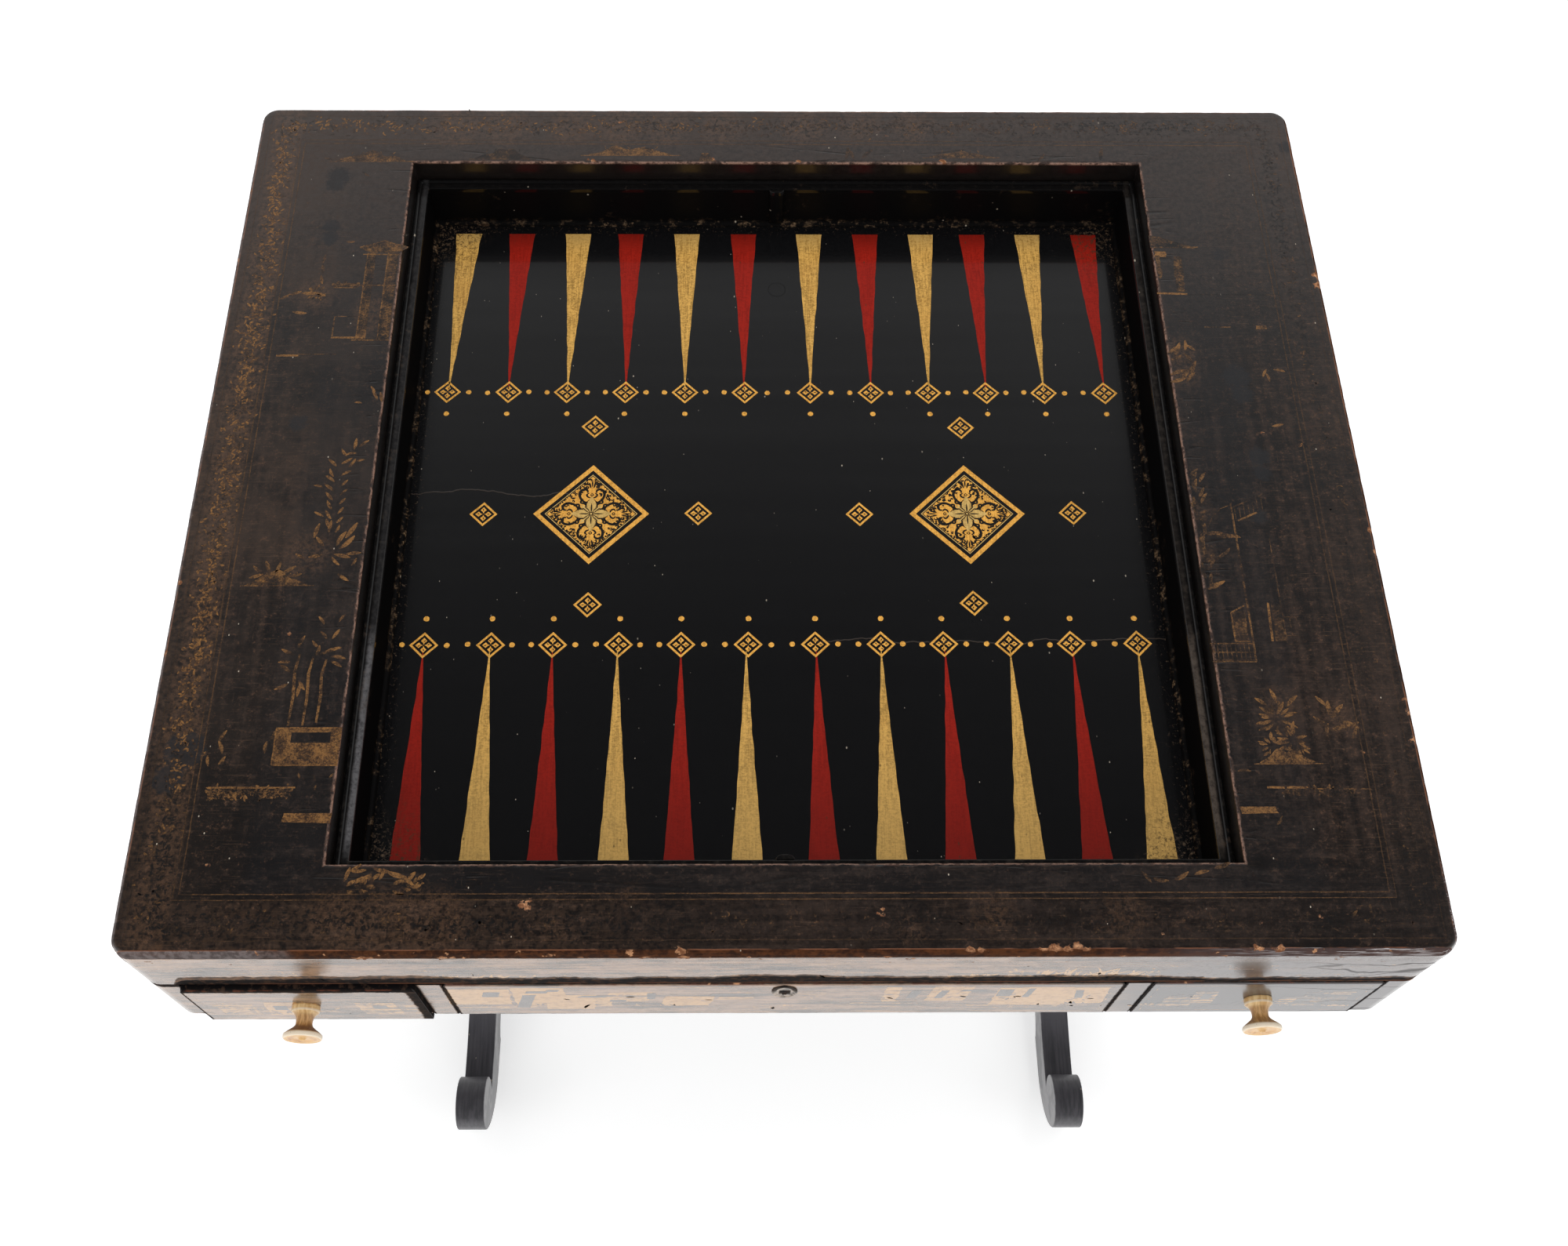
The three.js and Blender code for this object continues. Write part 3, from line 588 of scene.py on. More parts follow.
def top_lacquer():
    """The frame of the top, with its worn rim and arris, stains, chips and dust, painted highlights on its
    front arris and painted reflection on its front face and towards its back.
    """
    top = Finish("top_lacquer")
    place = top.place()
    x, y, z = split(place)
    ground = Lacquer(top, place)
    from_middle = y - middle_y
    beyond_well = most(abs(x) - well_half_x * mm, abs(from_middle) - well_half_y * mm)
    inside = least(half_width * mm - abs(x), half_depth * mm - abs(from_middle))
    ragged = mottle(place, 260, 4, 0.65)
    coarse = mottle(place, 42, 3, 0.6)
    fray, drift = ragged - 0.5, coarse - 0.5
    colour = ground.colour
    haze = ease(x, 0.1, -0.36) * ease(mottle(place, 16, 5, 0.7), 0.36, 0.62)
    haze = haze * ease(from_middle, -0.26, -0.02, 0.25, 1)
    colour = blend(haze * 0.36, colour, (0.052, 0.029, 0.017))
    band = ease(inside + drift * 0.004, 0.036, 0.028) * ease(x, 0.3, -0.3, 0.25, 1)
    colour = blend(band * 0.35 * ease(ragged, 0.36, 0.62), colour, (0.075, 0.04, 0.022))
    neutral = ease(abs(x) - well_half_x * mm, 0.056, 0.036) * ease(abs(from_middle) - well_half_y * mm,
        0.022, 0.015)
    handled = ease(from_middle, -0.262, -0.285) * ease(x, -0.16, -0.02)
    colour = blend(handled * 0.45 * ease(coarse, 0.25, 0.6, 0.5, 1), colour, (0.0062, 0.0052, 0.0056))
    colour = blend(neutral * 0.5 * ease(coarse, 0.3, 0.6, 1, 0.7), colour, (0.009, 0.0086, 0.0098))
    # Lighter towards the back: partly a painted reflection, which grows towards the back, and partly mottled
    # bloom of the lacquer.
    back_sheen_and_bloom = ease(from_middle, 0.02, 0.32) * ease(ground.pepper * 0.3 + ragged * 0.7, 0.36, 0.64, 0.25, 0.95)
    colour = blend(back_sheen_and_bloom, colour, (0.036, 0.025, 0.021))
    stains = near_spots(place,
        [(u, v, table_height, radius) for u, v, radius in ((-316, 253, 8), (-318, 245, 7), (-316, 206, 6),
        (-316, 196, 6), (-318, 38, 6), (308, 76, 9), (310, 62, 7), (314, 12, 7), (314, 0, 6), (373, 283, 5),
        (312, 182, 5), (-355, -196, 12), (-362, -214, 9), (307, -34, 5))])
    stained = ease(stains + fray * 0.012, 0.0018, -0.0018)
    rubbed = near_spots(place,
        [(u, v, table_height, radius) for u, v, radius in ((-252, -300, 20), (-228, -300, 22),
        (-200, -302, 20), (-90, -284, 8), (-132, -307, 8), (70, -306, 9), (118, -296, 12), (190, -300, 14),
        (268, -30, 9), (268, -62, 9), (272, 96, 12), (272, 78, 10), (332, -176, 12), (300, -168, 13),
        (-236, 302, 20), (-200, 302, 20), (-150, 302, 18), (-115, 302, 18), (-80, 302, 18), (-40, 303, 16),
        (20, 303, 18), (62, 304, 16), (100, 304, 16), (-355, -195, 12), (-300, -60, 16), (-320, 146, 12),
        (-276, 128, 16))])
    golden = most(ease(rubbed + drift * 0.014, 0.006, -0.008), ease(abs(x + 0.3585) + drift * 0.006, 0.0125,
        0.0095))
    golden = golden * ease(ground.pepper * 0.55 + ragged * 0.45, 0.42, 0.6)
    colour = blend(golden * 0.36, colour, (0.112, 0.054, 0.025))
    colour = blend(stained * 0.75, colour, (0.0105, 0.0105, 0.0125))
    at_top = ease(z, (table_height - 2.6) * mm, (table_height - 0.9) * mm)
    chipping = mottle(place, 75, 4, 0.7)
    rim = ease(beyond_well + fray * 0.004 + (chipping - 0.5) * 0.006, 0.002, 0.0006) * at_top
    rim = rim * ease(chipping, 0.38, 0.54, 0.2, 1)
    colour = blend(rim * 0.85, colour, blend(ease(ragged * 0.6 + chipping * 0.4, 0.42, 0.58),
        (0.06, 0.026, 0.016), (0.36, 0.2, 0.14)))
    upright_face = ease(z / mm + fray * 0.8, table_height - 6.2, table_height - 7.2)
    upright_face = upright_face * ease(inside, 0.002, 0.001)
    arris = ease(inside + drift * 0.0008, 0.0034, 0.0027) * (1 - upright_face)
    colour = blend(arris * 0.92, colour, blend(ease(ground.streaks * 0.5 + ragged * 0.5, 0.42, 0.6),
        (0.024, 0.0085, 0.004), (0.082, 0.027, 0.0085)))
    line = ease(abs(inside - 0.0032 + drift * 0.0008), 0.0005, 0.0002) * ease(coarse, 0.42, 0.56)
    colour = blend(line * 0.7, colour, (0.2, 0.07, 0.028))
    # Painted highlight: a pale grey sheen along the left end of the front arris.
    left_arris_highlight = arris * ease(x + drift * 0.06, -0.27, -0.31) * ease(ragged, 0.36, 0.62, 0.45, 1)
    colour = blend(left_arris_highlight * 0.75, colour, (0.185, 0.165, 0.165))
    # Painted sheen along the right end of the front arris, and painted highlights on its scratches.
    right_arris_sheen = arris * ease(x + drift * 0.06, 0.16, 0.28) * ease(y, -0.24, -0.29)
    colour = blend(right_arris_sheen * 0.7, colour, (0.075, 0.052, 0.05))
    scratch_glints = ease(plank_marks(place, (60, 1300, 1300)), 0.52, 0.6) * arris * ease(x, 0.22, 0.32)
    scratch_glints = scratch_glints * ease(y, -0.24, -0.29)
    colour = blend(scratch_glints * 0.8, colour, (0.46, 0.43, 0.43))
    squash = 0.55
    chips = near_spots(place * (squash, 1, 1), chip_spots(), squash)
    edge_chips = ease(mottle(place, 110, 3, 0.6), 0.66, 0.7) * ease(inside, 0.0036, 0.0024)
    chipped = most(ease(chips + fray * 0.009, 0.0002, -0.0006), edge_chips * 0.8)
    colour = blend(chipped, colour, blend(ease(ragged, 0.38, 0.62), (0.16, 0.065, 0.03), raw_wood))
    cracks = ease(cells(place * (5, 52, 52), 1, "DISTANCE_TO_EDGE"), 0.035, 0.0)
    crazed = cracks * ease(beyond_well, 0.026, 0.004) * ease(coarse, 0.47, 0.56) * at_top
    colour = blend(crazed * 0.6, colour, (0.0035, 0.0028, 0.0026))
    dust = most(specks(place, 420, 0.014), specks(place + 0.7, 260, 0.004)) * at_top
    colour = blend(dust, colour, dust_colour)
    wear = FrontSheenAndWear(top, place, colour)
    # The frame's upright front faces take the painted reflection of the floor, with wear and cracks.
    colour = blend(wear.forward * upright_face * (1 - chipped), colour, wear.colour)
    wall = ease(beyond_well, 0.0012, 0.0004) * (1 - at_top)
    colour = blend(wall * 0.8, colour, (0.0035, 0.0028, 0.0026))
    lost = most(rim * 0.8, chipped, stained * 0.2)
    normal = bump(ground.height + ragged * 0.7 * most(rim, chipped) * 4 - crazed * 3, 0.00012, 0.55)
    shine = (1 - most(lost, arris)) * (1 - 0.85 * upright_face)
    rough = ground.roughness + 0.36 * most(lost, arris) + 0.12 * haze - 0.15 * upright_face
    shader = top.shade(Base_Color=colour, Roughness=rough, Normal=normal, Coat_Weight=0.75 * shine,
        Coat_Roughness=0.16, IOR=1.5, Coat_IOR=1.5)
    shader = top.dull(most(arris * 0.8, chipped * 0.7), shader, colour, normal)
    return top.close(shader)


def chip_spots():
    """Where the edge has lost its lacquer: x, y, height and radius."""
    low, high, flat = table_height - 6, table_height - 0.4, table_height
    spots = [(x, front + 0.5, low, radius) for x, radius in ((-239, 2.0), (-234, 1.3), (-193, 2.0),
        (-188, 1.7), (-116, 1.0), (-79, 1.7), (-58, 1.9), (-21, 0.9), (57, 1.1), (131, 0.9), (190, 1.0),
        (248, 1.0))]
    spots += [(x, front + inset, high, radius) for x, inset, radius in ((-60, 2.0, 2.0), (103, 2.8, 1.6),
        (108, 2.6, 1.3), (144, 3.0, 1.3), (150, 3.4, 1.9), (157, 2.9, 1.4), (163, 4.6, 1.8), (168, 3.0, 1.0),
        (265, 3.0, 1.7), (277, 3.2, 1.7))]
    spots += [(-377.4, front + 5, low, 2.6), (-376.6, front + 8, low, 2.0), (377, front + 7, low, 2.2)]
    spots += [(x, y, high, radius) for x, y, radius in ((378.6, -190, 2.4), (378.8, -172, 2.2),
        (378.8, -164, 1.8), (378.6, 163, 3.0), (378.6, 155, 3.0), (379, -44, 2.0), (379, -60, 2.4),
        (-378.6, -82, 1.8), (-378.6, 40, 1.5), (-378.8, -132, 1.5))]
    return spots + [(x, y, flat, radius) for x, y, radius in ((-62, front + 4.6, 1.0), (-148, -288.6, 1.5),
        (-148.4, -290.8, 1.6), (-147, -292.8, 1.2), (53.5, -294, 0.9), (53.5, -296.4, 0.9),
        (-304, -118, 0.6), (-332, -266.5, 0.8), (212, -309, 0.8), (320, 31, 0.6), (302, -299, 0.6),
        (267, -302.5, 0.5), (345, -198, 0.5), (-48, well_half_y + 3, 1.6), (-116, 306, 0.8), (82, 293, 0.7),
        (121, well_half_y + 2, 1.6), (15, well_half_y + 1.6, 1.2), (-135, well_half_y + 1.6, 1.2))]


def case_lacquer(name="case_lacquer", paint=None, deep_paint=None):
    """The sides of the case and the drawer fronts. Painted shapes on it share its surface, and
    each shape's own strength says how much paint is left."""
    case = Finish(name)
    place = case.place()
    x, y, z = split(place)
    ground = Lacquer(case, place)
    # Forward faces take a painted reflection of the floor, with wear and cracks.
    wear = FrontSheenAndWear(case, place, ground.colour, paint, deep_paint)
    ragged, colour = wear.ragged, wear.colour
    coarse = mottle(place * (1, 1, 0.2), 38, 3, 0.6)
    fray, drift = ragged - 0.5, coarse - 0.5
    level = z / mm - seam
    bare = blend(ease(ragged, 0.42, 0.6), (0.012, 0.007, 0.005), (0.135, 0.06, 0.022))
    at_front = ease(y - middle_y, (front + 14) * mm, (front + 6) * mm)
    height = ease(x, 0.19, 0.26, 11.5, 7.0) + drift * 12 + ease(abs(x + 0.006), 0.04, 0.018, 0, 4)
    banded = at_front * ease(x, -0.364, -0.352)
    height = height * banded - 3 * (1 - banded)
    on_rail = ease(level, -0.3, 0.3)
    fringe_top = ease(x, -0.19, -0.22, 3.6, 6.5) * banded
    fringe = ease(level - height - fringe_top + fray * 5, 0.6, -1.6) * on_rail
    colour = blend(fringe * 0.8, colour, bare)
    # Painted shade: a near-black band along the rail's lower edge stands in for the shadow in the gap above
    # the drawers.
    gap_shade_and_dark_wear = ease(level - height + fray * 3, 0.8, -0.8) * on_rail
    gap_shade_and_dark_wear = most(gap_shade_and_dark_wear, ease(level, 1.2, 0.6) * on_rail)
    upward = ease(case.facing()[2], 0.55, 0.85)
    # Painted shade on the upward faces under the rail and on the open left drawer's top.
    ledge = upward * ease(level, 0.4, -0.4)
    open_drawer_top_shade = ease(level + fray * 4 + drift * 3, -5.4, -4.2) * (1 - on_rail) * at_front
    ledge = most(ledge * ease(ragged, 0.4, 0.55), open_drawer_top_shade * ease(x, -0.2185, -0.219))
    # Painted shade on the open left drawer's end beside the stile.
    drawer_end_shade = ease(x / mm + fray * 5 + drift * 4, -225.5, -223.5)
    drawer_end_shade = drawer_end_shade * ease(x / mm, -218.8, -219.1) * at_front
    aside = least(*(abs(abs(x) - joint * mm) for joint in (202.85, 218.95, 357.75)))
    joint = ease(aside + fray * 0.0018, 0.002, 0.001) * ease(level, 0.4, -0.4)
    joint = most(joint * at_front, ease(abs(level + fray * 0.8), 0.8, 0.3) * (1 - at_front))
    low_edge = ease(level + fray * 3, case_bottom - seam + 1.4, case_bottom - seam + 0.3)
    low_edge = low_edge * ease(coarse, 0.5, 0.58)
    # Painted shade where the keyhole's opening is dark.
    keyhole = ease(most(abs(x) - 0.0042, abs(z - 0.668) - 0.0088), 0.0005, -0.0003) * at_front
    # The painted shade is gathered with dark joints and worn lower edges into one near-black, matt share.
    gap_shade_and_dark_wear = most(gap_shade_and_dark_wear, ledge, joint, low_edge, drawer_end_shade * (1 - on_rail), keyhole)
    scorched = ease(abs(level - 1.6 + fray * 2), 1.6, 0.6) * ease(coarse, 0.4, 0.55) * on_rail
    colour = blend(gap_shade_and_dark_wear * 0.95, colour, blend(ease(ragged, 0.5, 0.66), (0.006, 0.0052, 0.0056),
        (0.045, 0.026, 0.018)))
    colour = blend(scorched * 0.7, colour, (0.12, 0.046, 0.022))
    patches = mottle(place, 60, 3, 0.6)
    rim = ease(abs(level + 1.7 + fray * 1.2), 0.5, 0.2) * ease(patches, 0.5, 0.58)
    colour = blend(rim * 0.8, colour, (0.11, 0.034, 0.018))
    chips = ease(patches, 0.67, 0.71) * ease(abs(level + 0.7), 1.6, 0.8)
    colour = blend(chips, colour, raw_wood)
    lost = most(gap_shade_and_dark_wear, fringe * 0.8, chips, wear.cracks)
    normal = bump(ground.height + wear.lying * 0.6 - wear.cracks * 2 - joint - fringe * ragged, 0.00006, 0.4)
    shader = case.shade(Base_Color=colour, Roughness=0.2 + 0.4 * lost + 0.1 * (1 - wear.forward),
        Normal=normal, Coat_Weight=0.1 - 0.1 * lost, Coat_Roughness=0.12, IOR=1.5, Coat_IOR=1.5)
    shader = case.dull(most(gap_shade_and_dark_wear * 0.97, fringe * 0.6) * (0.86 + 0.14 * ragged), shader, colour, normal)
    return case.close(shader)


def worn_gilding():
    """Gilt painting on the top, rubbed back to the lacquer by as much as each shape's strength says.

    From 2 up a shape is whole, and the part over 2 says how strongly it shows."""
    gilding = Finish("frame_gilding")
    place = gilding.place()
    ground = Lacquer(gilding, place)
    kept = gilding.paint_left()
    fine = mottle(place, 900, 4, 0.7)
    patches = mottle(place, 120, 4, 0.65)
    worn = ease(fine * 0.35 + patches * 0.65 + kept * 0.42, 0.56, 0.84) * (0.35 + 0.65 * kept)
    whole = ease(kept, 1.8, 1.9)
    shown = least(worn, 1) * (1 - whole) + whole * (kept - 2) * ease(patches, 0.3, 0.48, 0.55, 1)
    gilt = blend(ease(fine * 0.6 + patches * 0.4, 0.4, 0.62), (0.07, 0.031, 0.011), (0.285, 0.13, 0.032))
    colour = blend(shown, ground.colour, gilt)
    shader = gilding.shade(Base_Color=colour, Roughness=0.34 + 0.2 * fine, Metallic=0.15 * shown,
        Normal=bump(fine * 0.4 + ground.height, 0.0001, 0.5), Coat_Weight=0.6, Coat_Roughness=0.16, IOR=1.5,
        Coat_IOR=1.5)
    return gilding.close(shader)


def board_lacquer():
    """The smooth black of the playing board, faintly wavy, with cracks, dust and dirt in its edges."""
    board = Finish("board_lacquer")
    place = board.place()
    x, y, z = split(place)
    from_middle = y - middle_y
    wave = mottle(place * (2.2, 26, 6), 1, 2, 0.5)
    fine = mottle(place, 700, 3, 0.6)
    wander = (mottle(place * (22, 1, 1), 1, 4, 0.6) - 0.5) * 0.02
    back_crack = ease(abs(from_middle - 0.0175 + wander), 0.0006, 0.0001) * ease(x, -0.125, -0.135)
    front_crack = ease(abs(from_middle + 0.0955 + wander * 0.9), 0.0006, 0.0001) * ease(x, 0.015, 0.03)
    crack = most(back_crack, front_crack) * ease(z, (board_face - 0.5) * mm, (board_face - 0.1) * mm)
    edge = least(board_half_x * mm - abs(x), board_half_y * mm - abs(from_middle))
    crumbs = mottle(place, 330, 5, 0.75)
    dirt = ease(edge, 0.016, 0.002) * ease(crumbs, 0.56, 0.68)
    corner = ease(abs(x) * 0.9 + abs(from_middle) * 0.9, 0.405, 0.455) * ease(crumbs, 0.5, 0.6)
    dirt = most(dirt * 0.6, corner * 0.8)
    colour = blend(ease(fine, 0.3, 0.7), (0.003, 0.003, 0.0034), (0.005, 0.0049, 0.0054))
    colour = blend(dirt, colour, blend(ease(fine, 0.4, 0.6), (0.03, 0.017, 0.009), (0.16, 0.1, 0.055)))
    colour = blend(crack * 0.8, colour, (0.045, 0.032, 0.024))
    dust = most(specks(place, 320, 0.01), specks(place + 0.4, 560, 0.012))
    colour = blend(dust * 0.8, colour, dust_colour)
    height = wave * 4 + fine * 0.02 + crack * 0.8 + dirt * 0.4
    shader = board.shade(Base_Color=colour, Roughness=0.22 + 0.5 * most(dirt, dust), Coat_Weight=1 - dirt,
        Normal=bump(height, 0.0002, 0.5), Coat_Roughness=0.06, IOR=1.5, Coat_IOR=1.45)
    return board.close(shader)


def well_lacquer():
    """The black mouldings and walls of the well, dusty on their ledges and rubbed in patches, with a painted
    highlight along their beads.
    """
    well = Finish("well_lacquer")
    place = well.place()
    x, y, z = split(place)
    fine = mottle(place, 600, 3, 0.6)
    crumbs = mottle(place, 210, 5, 0.75)
    lumps = mottle(place, 38, 4, 0.6)
    aside, _, upward = well.facing()
    flat = ease(upward, 0.75, 0.98)
    colour = blend(fine, (0.0022, 0.002, 0.0022), (0.004, 0.0036, 0.0036))
    dusty = flat * ease(z, (board_face + 20) * mm, (board_face + 24) * mm)
    dusty = dusty * ease(y - middle_y, 0.235, 0.205, 0.25, 1)
    colour = blend(dusty * ease(crumbs, 0.44, 0.68) * 0.3, colour, (0.045, 0.037, 0.031))
    reach = well_half_x * mm - abs(x)
    # Painted highlight: a soft pale streak along the top of the ledge's bead, grey on the left and brown on
    # the right.
    crown = ease(abs(reach - 0.0066 + (lumps - 0.5) * 0.0014), 0.003, 0.0006) * ease(z, 0.7255, 0.7265)
    highlight_length = ease(y - middle_y, -0.1, -0.125, 0.1, 0.7) * ease(y - middle_y, -0.262, -0.24)
    crown = crown * highlight_length * ease(crumbs * 0.6 + fine * 0.4, 0.34, 0.58, 0.35, 1)
    colour = blend(crown, colour, blend(ease(x, -0.1, 0.1), (0.165, 0.16, 0.166), (0.105, 0.082, 0.066)))
    low = ease(z, (board_face + 7) * mm, (board_face + 1) * mm)
    grime = low * ease(crumbs, 0.5, 0.62) * ease(lumps, 0.38, 0.6)
    colour = blend(grime * 0.75, colour, blend(ease(fine, 0.4, 0.6), (0.05, 0.027, 0.014),
        (0.2, 0.13, 0.075)))
    rubbed = ease(crumbs + lumps, 1.16, 1.3) * (1 - low)
    colour = blend(rubbed * 0.25, colour, (0.065, 0.04, 0.024))
    colour = blend(specks(place, 230, 0.03) * 0.7, colour, dust_colour)
    moulding = ease(z, (ledge_underside - 2) * mm, ledge_underside * mm)
    normal = bump(crumbs * 0.5 + lumps * 2 + grime, 0.00022, 0.5)
    shader = well.shade(Base_Color=colour, Roughness=0.5 + 0.2 * most(dusty, grime), Normal=normal,
        Coat_Weight=moulding * (0.9 - 0.5 * dusty), Coat_Roughness=0.09, IOR=1.15, Coat_IOR=1.5)
    shader = well.dull((1 - moulding) * ease(abs(aside), 0.4, 0.8) * 0.8, shader, colour, normal)
    return well.close(shader)


def board_paint(name, thin, full, streak, darker_colour, darken_from, rough):
    """Paint on the board, brushed along the points, darker towards the front and, in patches, towards the
    points' bases.
    """
    paint = Finish(name)
    place = paint.place()
    x, y, z = split(place)
    from_middle = y - middle_y
    brush = plank_marks(place, (950, 60, 60))
    weave = plank_marks(place, (240, 1300, 1300))
    fine = mottle(place, 850, 3, 0.7)
    body = mottle(place, 28, 3, 0.6)
    colour = blend(ease(brush * 0.35 + fine * 0.4 + weave * 0.25, 0.4, 0.58), thin, full)
    colour = blend(ease(body, 0.5, 0.75) * 0.35, colour, streak)
    # Darker towards the front of the board and, in patches, near the points' bases.
    toward_front = ease(-from_middle, darken_from, 0.245) * 0.55
    ends = ease(abs(from_middle), 0.226, 0.248) * ease(fine * 0.5 + brush * 0.5, 0.35, 0.6)
    colour = blend(most(toward_front, ends * 0.75), colour, darker_colour)
    crumbs = mottle(place, 330, 5, 0.75)
    corner = ease(abs(x) * 0.9 + abs(from_middle) * 0.9, 0.38, 0.43) * ease(crumbs, 0.5, 0.6)
    colour = blend(most(corner * 0.8, specks(place, 260, 0.06) * 0.6), colour, (0.045, 0.026, 0.014))
    shader = paint.shade(Base_Color=colour, Roughness=rough + 0.15 * fine, Coat_Weight=0.5,
        Coat_Roughness=0.08, Normal=bump(brush + fine * 0.6, 0.00005, 0.5), IOR=1.16, Coat_IOR=1.4)
    return paint.close(shader)


def ebonised():
    """Black stained wood of the trestle ends, satin, with grain, pale bruises and dust, and painted light on
    the arms' tops and along the edges.
    """
    wood = Finish("ebonised_wood")
    place = wood.place()
    x, y, z = split(place)
    grain = plank_marks(place, (420, 20, 150))
    fine = mottle(place, 600, 4, 0.7)
    clouds = mottle(place, 24, 4, 0.6)
    colour = blend(ease(grain, 0.35, 0.65), (0.032, 0.031, 0.036), (0.062, 0.058, 0.067))
    colour = blend(ease(clouds, 0.45, 0.7) * 0.5, colour, (0.085, 0.08, 0.088))
    scuffs = ease(fine * 0.6 + clouds * 0.4, 0.63, 0.7)
    colour = blend(scuffs * 0.5, colour, (0.1, 0.085, 0.07))
    # Painted reflection: the arms' upward faces are made lighter and bluer, as if they mirrored the room
    # above.
    arm_top_sheen = ease(wood.facing()[2], 0.5, 0.8) * ease(y, -0.215, -0.15) * ease(abs(x), 0.266, 0.27)
    colour = blend(arm_top_sheen * (0.45 + 0.3 * fine), colour, (0.12, 0.116, 0.132))
    # Pale lines along the boards' edges: rubbed corners with a painted highlight.
    corner = least(abs(abs(x) - 0.27), abs(abs(x) - 0.297))
    corner = ease(corner + (fine - 0.5) * 0.0014, 0.0007, 0.0002) * ease(clouds, 0.42, 0.55)
    colour = blend(corner * 0.6, colour, (0.26, 0.25, 0.26))
    colour = blend(specks(place, 240, 0.05) * 0.7, colour, dust_colour)
    shader = wood.shade(Base_Color=colour, Roughness=0.36 + 0.2 * clouds + 0.1 * scuffs, Coat_Weight=0.35,
        Normal=bump(grain + fine * 0.4, 0.0001, 0.5), Coat_Roughness=0.3, IOR=1.5)
    return wood.close(shader)


def drawer_wood():
    """Bare softwood inside the drawers and the case, with year rings along the boards."""
    wood = Finish("drawer_wood")
    place = wood.place()
    bent = place + (mottle(place, 5, 2, out="Color") - 0.5) * 0.02
    rings = plank_marks(bent, (190, 5, 190))
    fibres = plank_marks(place, (1100, 28, 1100))
    clouds = mottle(place, 9, 3)
    colour = blend(ease(rings, 0.36, 0.64), (0.3, 0.175, 0.085), (0.46, 0.3, 0.165))
    colour = blend(ease(fibres, 0.5, 0.75) * 0.4, colour, (0.2, 0.11, 0.055))
    colour = blend(ease(clouds, 0.45, 0.7) * 0.35, colour, (0.22, 0.14, 0.08))
    colour = blend(specks(place, 170, 0.03) * 0.6, colour, (0.09, 0.05, 0.03))
    shader = wood.shade(Base_Color=colour, Roughness=0.62 + 0.2 * fibres, IOR=1.45,
        Normal=bump(rings * 0.5 + fibres, 0.00015, 0.6))
    return wood.close(shader)


def turned_bone(left_face, right_face):
    """Yellowed bone: fine lathe lines, brown in the hollows and rubbed pale on the rims."""
    bone = Finish("turned_bone")
    place = bone.place()
    x, y, z = split(place)
    across = abs(x) - knob_x * mm
    up = z - knob_z * mm
    reach = bone.add("ShaderNodeMath", {"operation": "SQRT"}, [across * across + up * up]) / mm
    face = ease(x, -0.01, 0.01, left_face, right_face)
    along = face - (y - middle_y) / mm
    lathe = mottle(bone.add("ShaderNodeCombineXYZ", None, [reach * 0.9, along * 0.9, 0]), 1, 3, 0.6)
    grain = plank_marks(place, (700, 120, 90))
    clouds = mottle(place, 130, 4, 0.65)
    stray = (clouds - 0.5) * 3
    colour = blend(ease(grain * 0.5 + clouds * 0.5, 0.36, 0.62), (0.66, 0.37, 0.13), (0.93, 0.67, 0.34))
    waist = ease(along + stray, 5.2, 7.2) * ease(along, 17.6, 16.6)
    colour = blend(waist * 0.75, colour, blend(ease(grain, 0.4, 0.62), (0.4, 0.18, 0.05), (0.74, 0.42, 0.16)))
    soiled = ease(along + stray * 1.6, 10.5, 14.5) * ease(along, 17.4, 16.4) * ease(x, 0.3, -0.3, 0.12, 0.9)
    colour = blend(soiled, colour, (0.135, 0.052, 0.026))
    head_face = ease(along, 19.4, 19.8)
    ring = head_face * ease(abs(reach - 6.3 + stray * 0.3), 2.8, 1.9)
    colour = blend(ring * 0.85, colour, blend(ease(clouds, 0.42, 0.58), (0.52, 0.235, 0.075),
        (0.8, 0.45, 0.19)))
    rim = ease(reach + stray * 0.2, 10.7, 11.3) * ease(along, 16.4, 17.6)
    golden = ease(along, 17.0, 18.4) * ease(clouds * 0.6 + grain * 0.4, 0.42, 0.54)
    colour = blend(golden * 0.55, colour, (0.7, 0.4, 0.135))
    collar_edge = ease(abs(along - 3.6), 0.9, 0.4)
    colour = blend(most(rim * 0.8, collar_edge * 0.5), colour, (0.97, 0.88, 0.72))
    lines = ease(lathe, 0.6, 0.7)
    colour = blend(lines * 0.45, colour, (0.36, 0.185, 0.07))
    pits = ease(cells(place * (1, 0.35, 1), 900), 0.16, 0.08) * ease(clouds, 0.5, 0.62)
    colour = blend(pits * 0.7, colour, (0.16, 0.08, 0.035))
    shader = bone.shade(Base_Color=colour, Roughness=0.32 + 0.18 * clouds, Coat_Weight=0.25,
        Coat_Roughness=0.2, Normal=bump(lathe + grain * 0.6 - pits, 0.0001, 0.6), IOR=1.5)
    return bone.close(shader)


